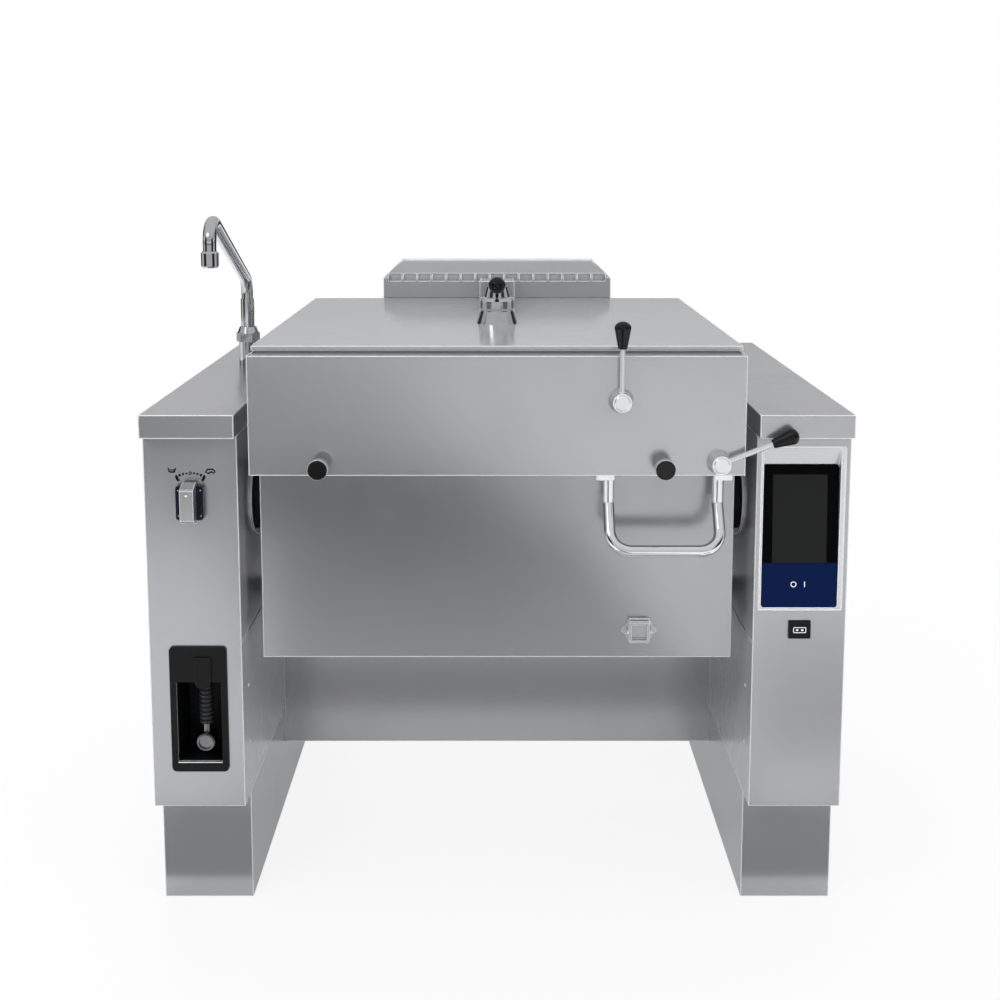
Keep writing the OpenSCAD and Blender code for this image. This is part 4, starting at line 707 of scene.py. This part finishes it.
def side_flags(s):
    """1 on four dark strips that stand round the studio and give round metal its dark lines."""
    sides = {0: abs(s.along("X")), 1: s.along("Y")}
    angle = s.node("ShaderNodeMath", {"operation": "ARCTAN2"}, sides)
    from_side = abs(angle - math.pi / 2)
    return s.limit(from_side, 0.28, 0.34) * s.limit(from_side, 0.95, 0.88)


def reflected(name, mesh, material):
    """A part of the studio that is hidden from everything but reflections."""
    made = mesh_object(name, mesh, material)
    made.visible_camera = False
    made.visible_diffuse = False
    made.visible_shadow = False
    made.visible_transmission = False


def pale_floor():
    """The floor: white to the camera, and darker near the object in reflections."""
    half = 60
    s = Shader("pale_floor")
    s.finish(Base_Color=(0.88, 0.88, 0.88, 1), Roughness=0.9)
    distance = s.vector("LENGTH", s.place(), output="Value")
    to_camera = 0.87 + 0.13 * s.limit(distance, 0.9, 2.6)
    flagged = 1 - 0.95 * side_flags(s) * s.limit(distance, 2.4, 3.4)
    to_metal = (0.3 + 0.7 * s.limit(distance, 1.2, 5.0)) * flagged
    share = seen_by(s, "Camera") * to_camera + seen_by(s, "Glossy", "Transmission") * to_metal
    mesh = bmesh.new()
    below = Matrix.Translation((0, 0, -CARD_THICK))
    slab(mesh, rectangle(-half, -half, half, half), below, CARD_THICK)
    mesh_object("floor", mesh, glowing(s, WHITE, share))


def studio_wall():
    """A round wall, grey below, dark at the height of the lid and bright above it."""
    radius, top = 9, 4.5
    s = Shader("studio_wall")
    height = s.along("Z")
    tone = (0.55 - 0.35 * s.limit(height, 1.2, 1.8) + 0.76 * s.limit(height, 1.8, 2.5)
            - 0.5 * s.limit(height, 2.75, 3.2))
    low_behind = s.limit(s.along("Y"), 6.6, 7.3) * s.limit(height, 1.5, 1.3)
    tone = tone * (1 - 0.95 * side_flags(s)) * (1 - 0.9 * low_behind)
    mesh = bmesh.new()
    lathe(mesh, [(radius, 0), (radius, top)], Matrix.Identity(4), steps=96)
    reflected("studio_wall", mesh, glowing(s, s.mix(tone, BLACK, WHITE)))


def dark_card(name, outline, near, away, level=0.01):
    """A card on the floor in front that darkens reflections, with a tone near and one away."""
    s = Shader(name)
    share = s.limit(s.along("Y"), -3.2, -1.2)
    tone = share * (near - away) + away + s.noise(s.place(), scale=0.8) * 0.04
    mesh = bmesh.new()
    slab(mesh, outline, Matrix.Translation((0, 0, level)), CARD_THICK)
    reflected(name, mesh, glowing(s, s.mix(tone, BLACK, WHITE)))


def softbox(centre, aim):
    """The bright panel that glints on round metal, at the key lamp's place."""
    mesh = bmesh.new()
    place = facing(centre, Vector(aim) - Vector(centre))
    slab(mesh, rounded_outline(1100, 800, 100), place, CARD_THICK / MM)
    reflected("softbox", mesh, glowing(Shader("softbox"), (5, 5, 5, 1)))


def ceiling_card():
    """The pale ceiling that flat tops show."""
    side, corner_r, height = 11, 4, 5.2
    s = Shader("ceiling_card")
    tone = s.mix(s.noise(s.place(), scale=0.4), (0.60, 0.60, 0.60, 1), (0.72, 0.72, 0.72, 1))
    mesh = bmesh.new()
    outline = rounded_outline(side, side, corner_r)
    slab(mesh, outline, Matrix.Translation((0, 0, height)), CARD_THICK)
    reflected("ceiling_card", mesh, glowing(s, tone))


def studio_air():
    """The world: white to the camera and through glass, and plain light on the object."""
    s = Shader("studio", world=True)
    bpy.context.scene.world = s.owner
    strength = 0.45 + 0.55 * seen_by(s, "Camera", "Transmission") + 0.12 * seen_by(s, "Glossy")
    s.finish(Color=WHITE, Strength=strength)


def lamp(name, place, aim, size, power):
    """A soft rectangular lamp at place that points at aim and isn't seen in reflections."""
    data = bpy.data.lights.new(name, "AREA")
    data.shape = "RECTANGLE"
    data.size, data.size_y = size
    data.energy = power
    made = bpy.data.objects.new(name, data)
    bpy.context.scene.collection.objects.link(made)
    made.location = place
    made.rotation_euler = (Vector(aim) - Vector(place)).to_track_quat("-Z", "Y").to_euler()
    made.visible_camera = False
    made.visible_glossy = False


KEY_PLACE = (-2.2, -2.8, 3.6)
BODY = (0, 0, 0.6)

pale_floor()
studio_wall()
# card_foot is painted shade: a dark sheet seen only in reflections, in front of the feet where the
# floor lies in the machine's shade.
dark_card("card_foot", [(-0.8, -0.40), (0.8, -0.40), (0.8, -0.70), (-0.8, -0.70)], 0.26, 0.26)
dark_card("card_near", [(-0.50, -0.72), (0.52, -0.72), (0.50, -1.3), (0.30, -2.6), (0.06, -3.2),
                        (-0.06, -3.6), (-1.5, -3.6), (-0.85, -2.6), (-0.55, -1.3)], 0.59, 0.0)
dark_card("card_far", [(-0.08, -3.65), (-0.9, -7.4), (-3.0, -7.4), (-1.7, -3.65)], 0.42, 0.40)
dark_card("card_side", [(-1.30, -3.1), (-1.75, -7.0), (-4.6, -7.0), (-2.3, -3.1)],
          0.03, 0.03, level=0.03)
dark_card("card_right", [(0.57, -1.00), (1.0, -1.00), (1.25, -1.75), (0.72, -1.75)], 0.54, 0.54)
softbox(KEY_PLACE, BODY)
ceiling_card()
studio_air()

lamp("key_lamp", KEY_PLACE, BODY, (2.2, 1.6), 72)
lamp("fill_lamp", (2.8, -2.6, 2.4), BODY, (1.8, 1.8), 38)
lamp("low_lamp", (0, -2.8, 0.6), BODY, (2.6, 0.4), 11)
lamp("top_lamp", (0.2, 0.4, 3.6), BODY, (2.6, 2.2), 45)
lamp("back_lamp", (-1.2, 3.2, 2.6), (0, 0, 0.7), (2.0, 1.6), 45)


# Camera, at the photograph's viewing angle

def photo_camera(distance, height, focal_px, pitch, shift):
    """A camera at a distance in front of the worktops that looks down by pitch, in degrees."""
    picture_px = 1000
    data = bpy.data.cameras.new("camera")
    data.sensor_width = 36
    data.lens = data.sensor_width * focal_px / picture_px
    data.shift_x, data.shift_y = shift
    data.clip_start, data.clip_end = 0.05, 200
    made = bpy.data.objects.new("camera", data)
    bpy.context.scene.collection.objects.link(made)
    made.location = (0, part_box("left_worktop")[0].y - distance, height)
    made.rotation_euler = (math.radians(90 - pitch), 0, 0)
    bpy.context.scene.camera = made


photo_camera(distance=2.156, height=1.316, focal_px=1312, pitch=7.2, shift=(0.003, -0.17))
bpy.context.scene.view_settings.view_transform = "Standard"
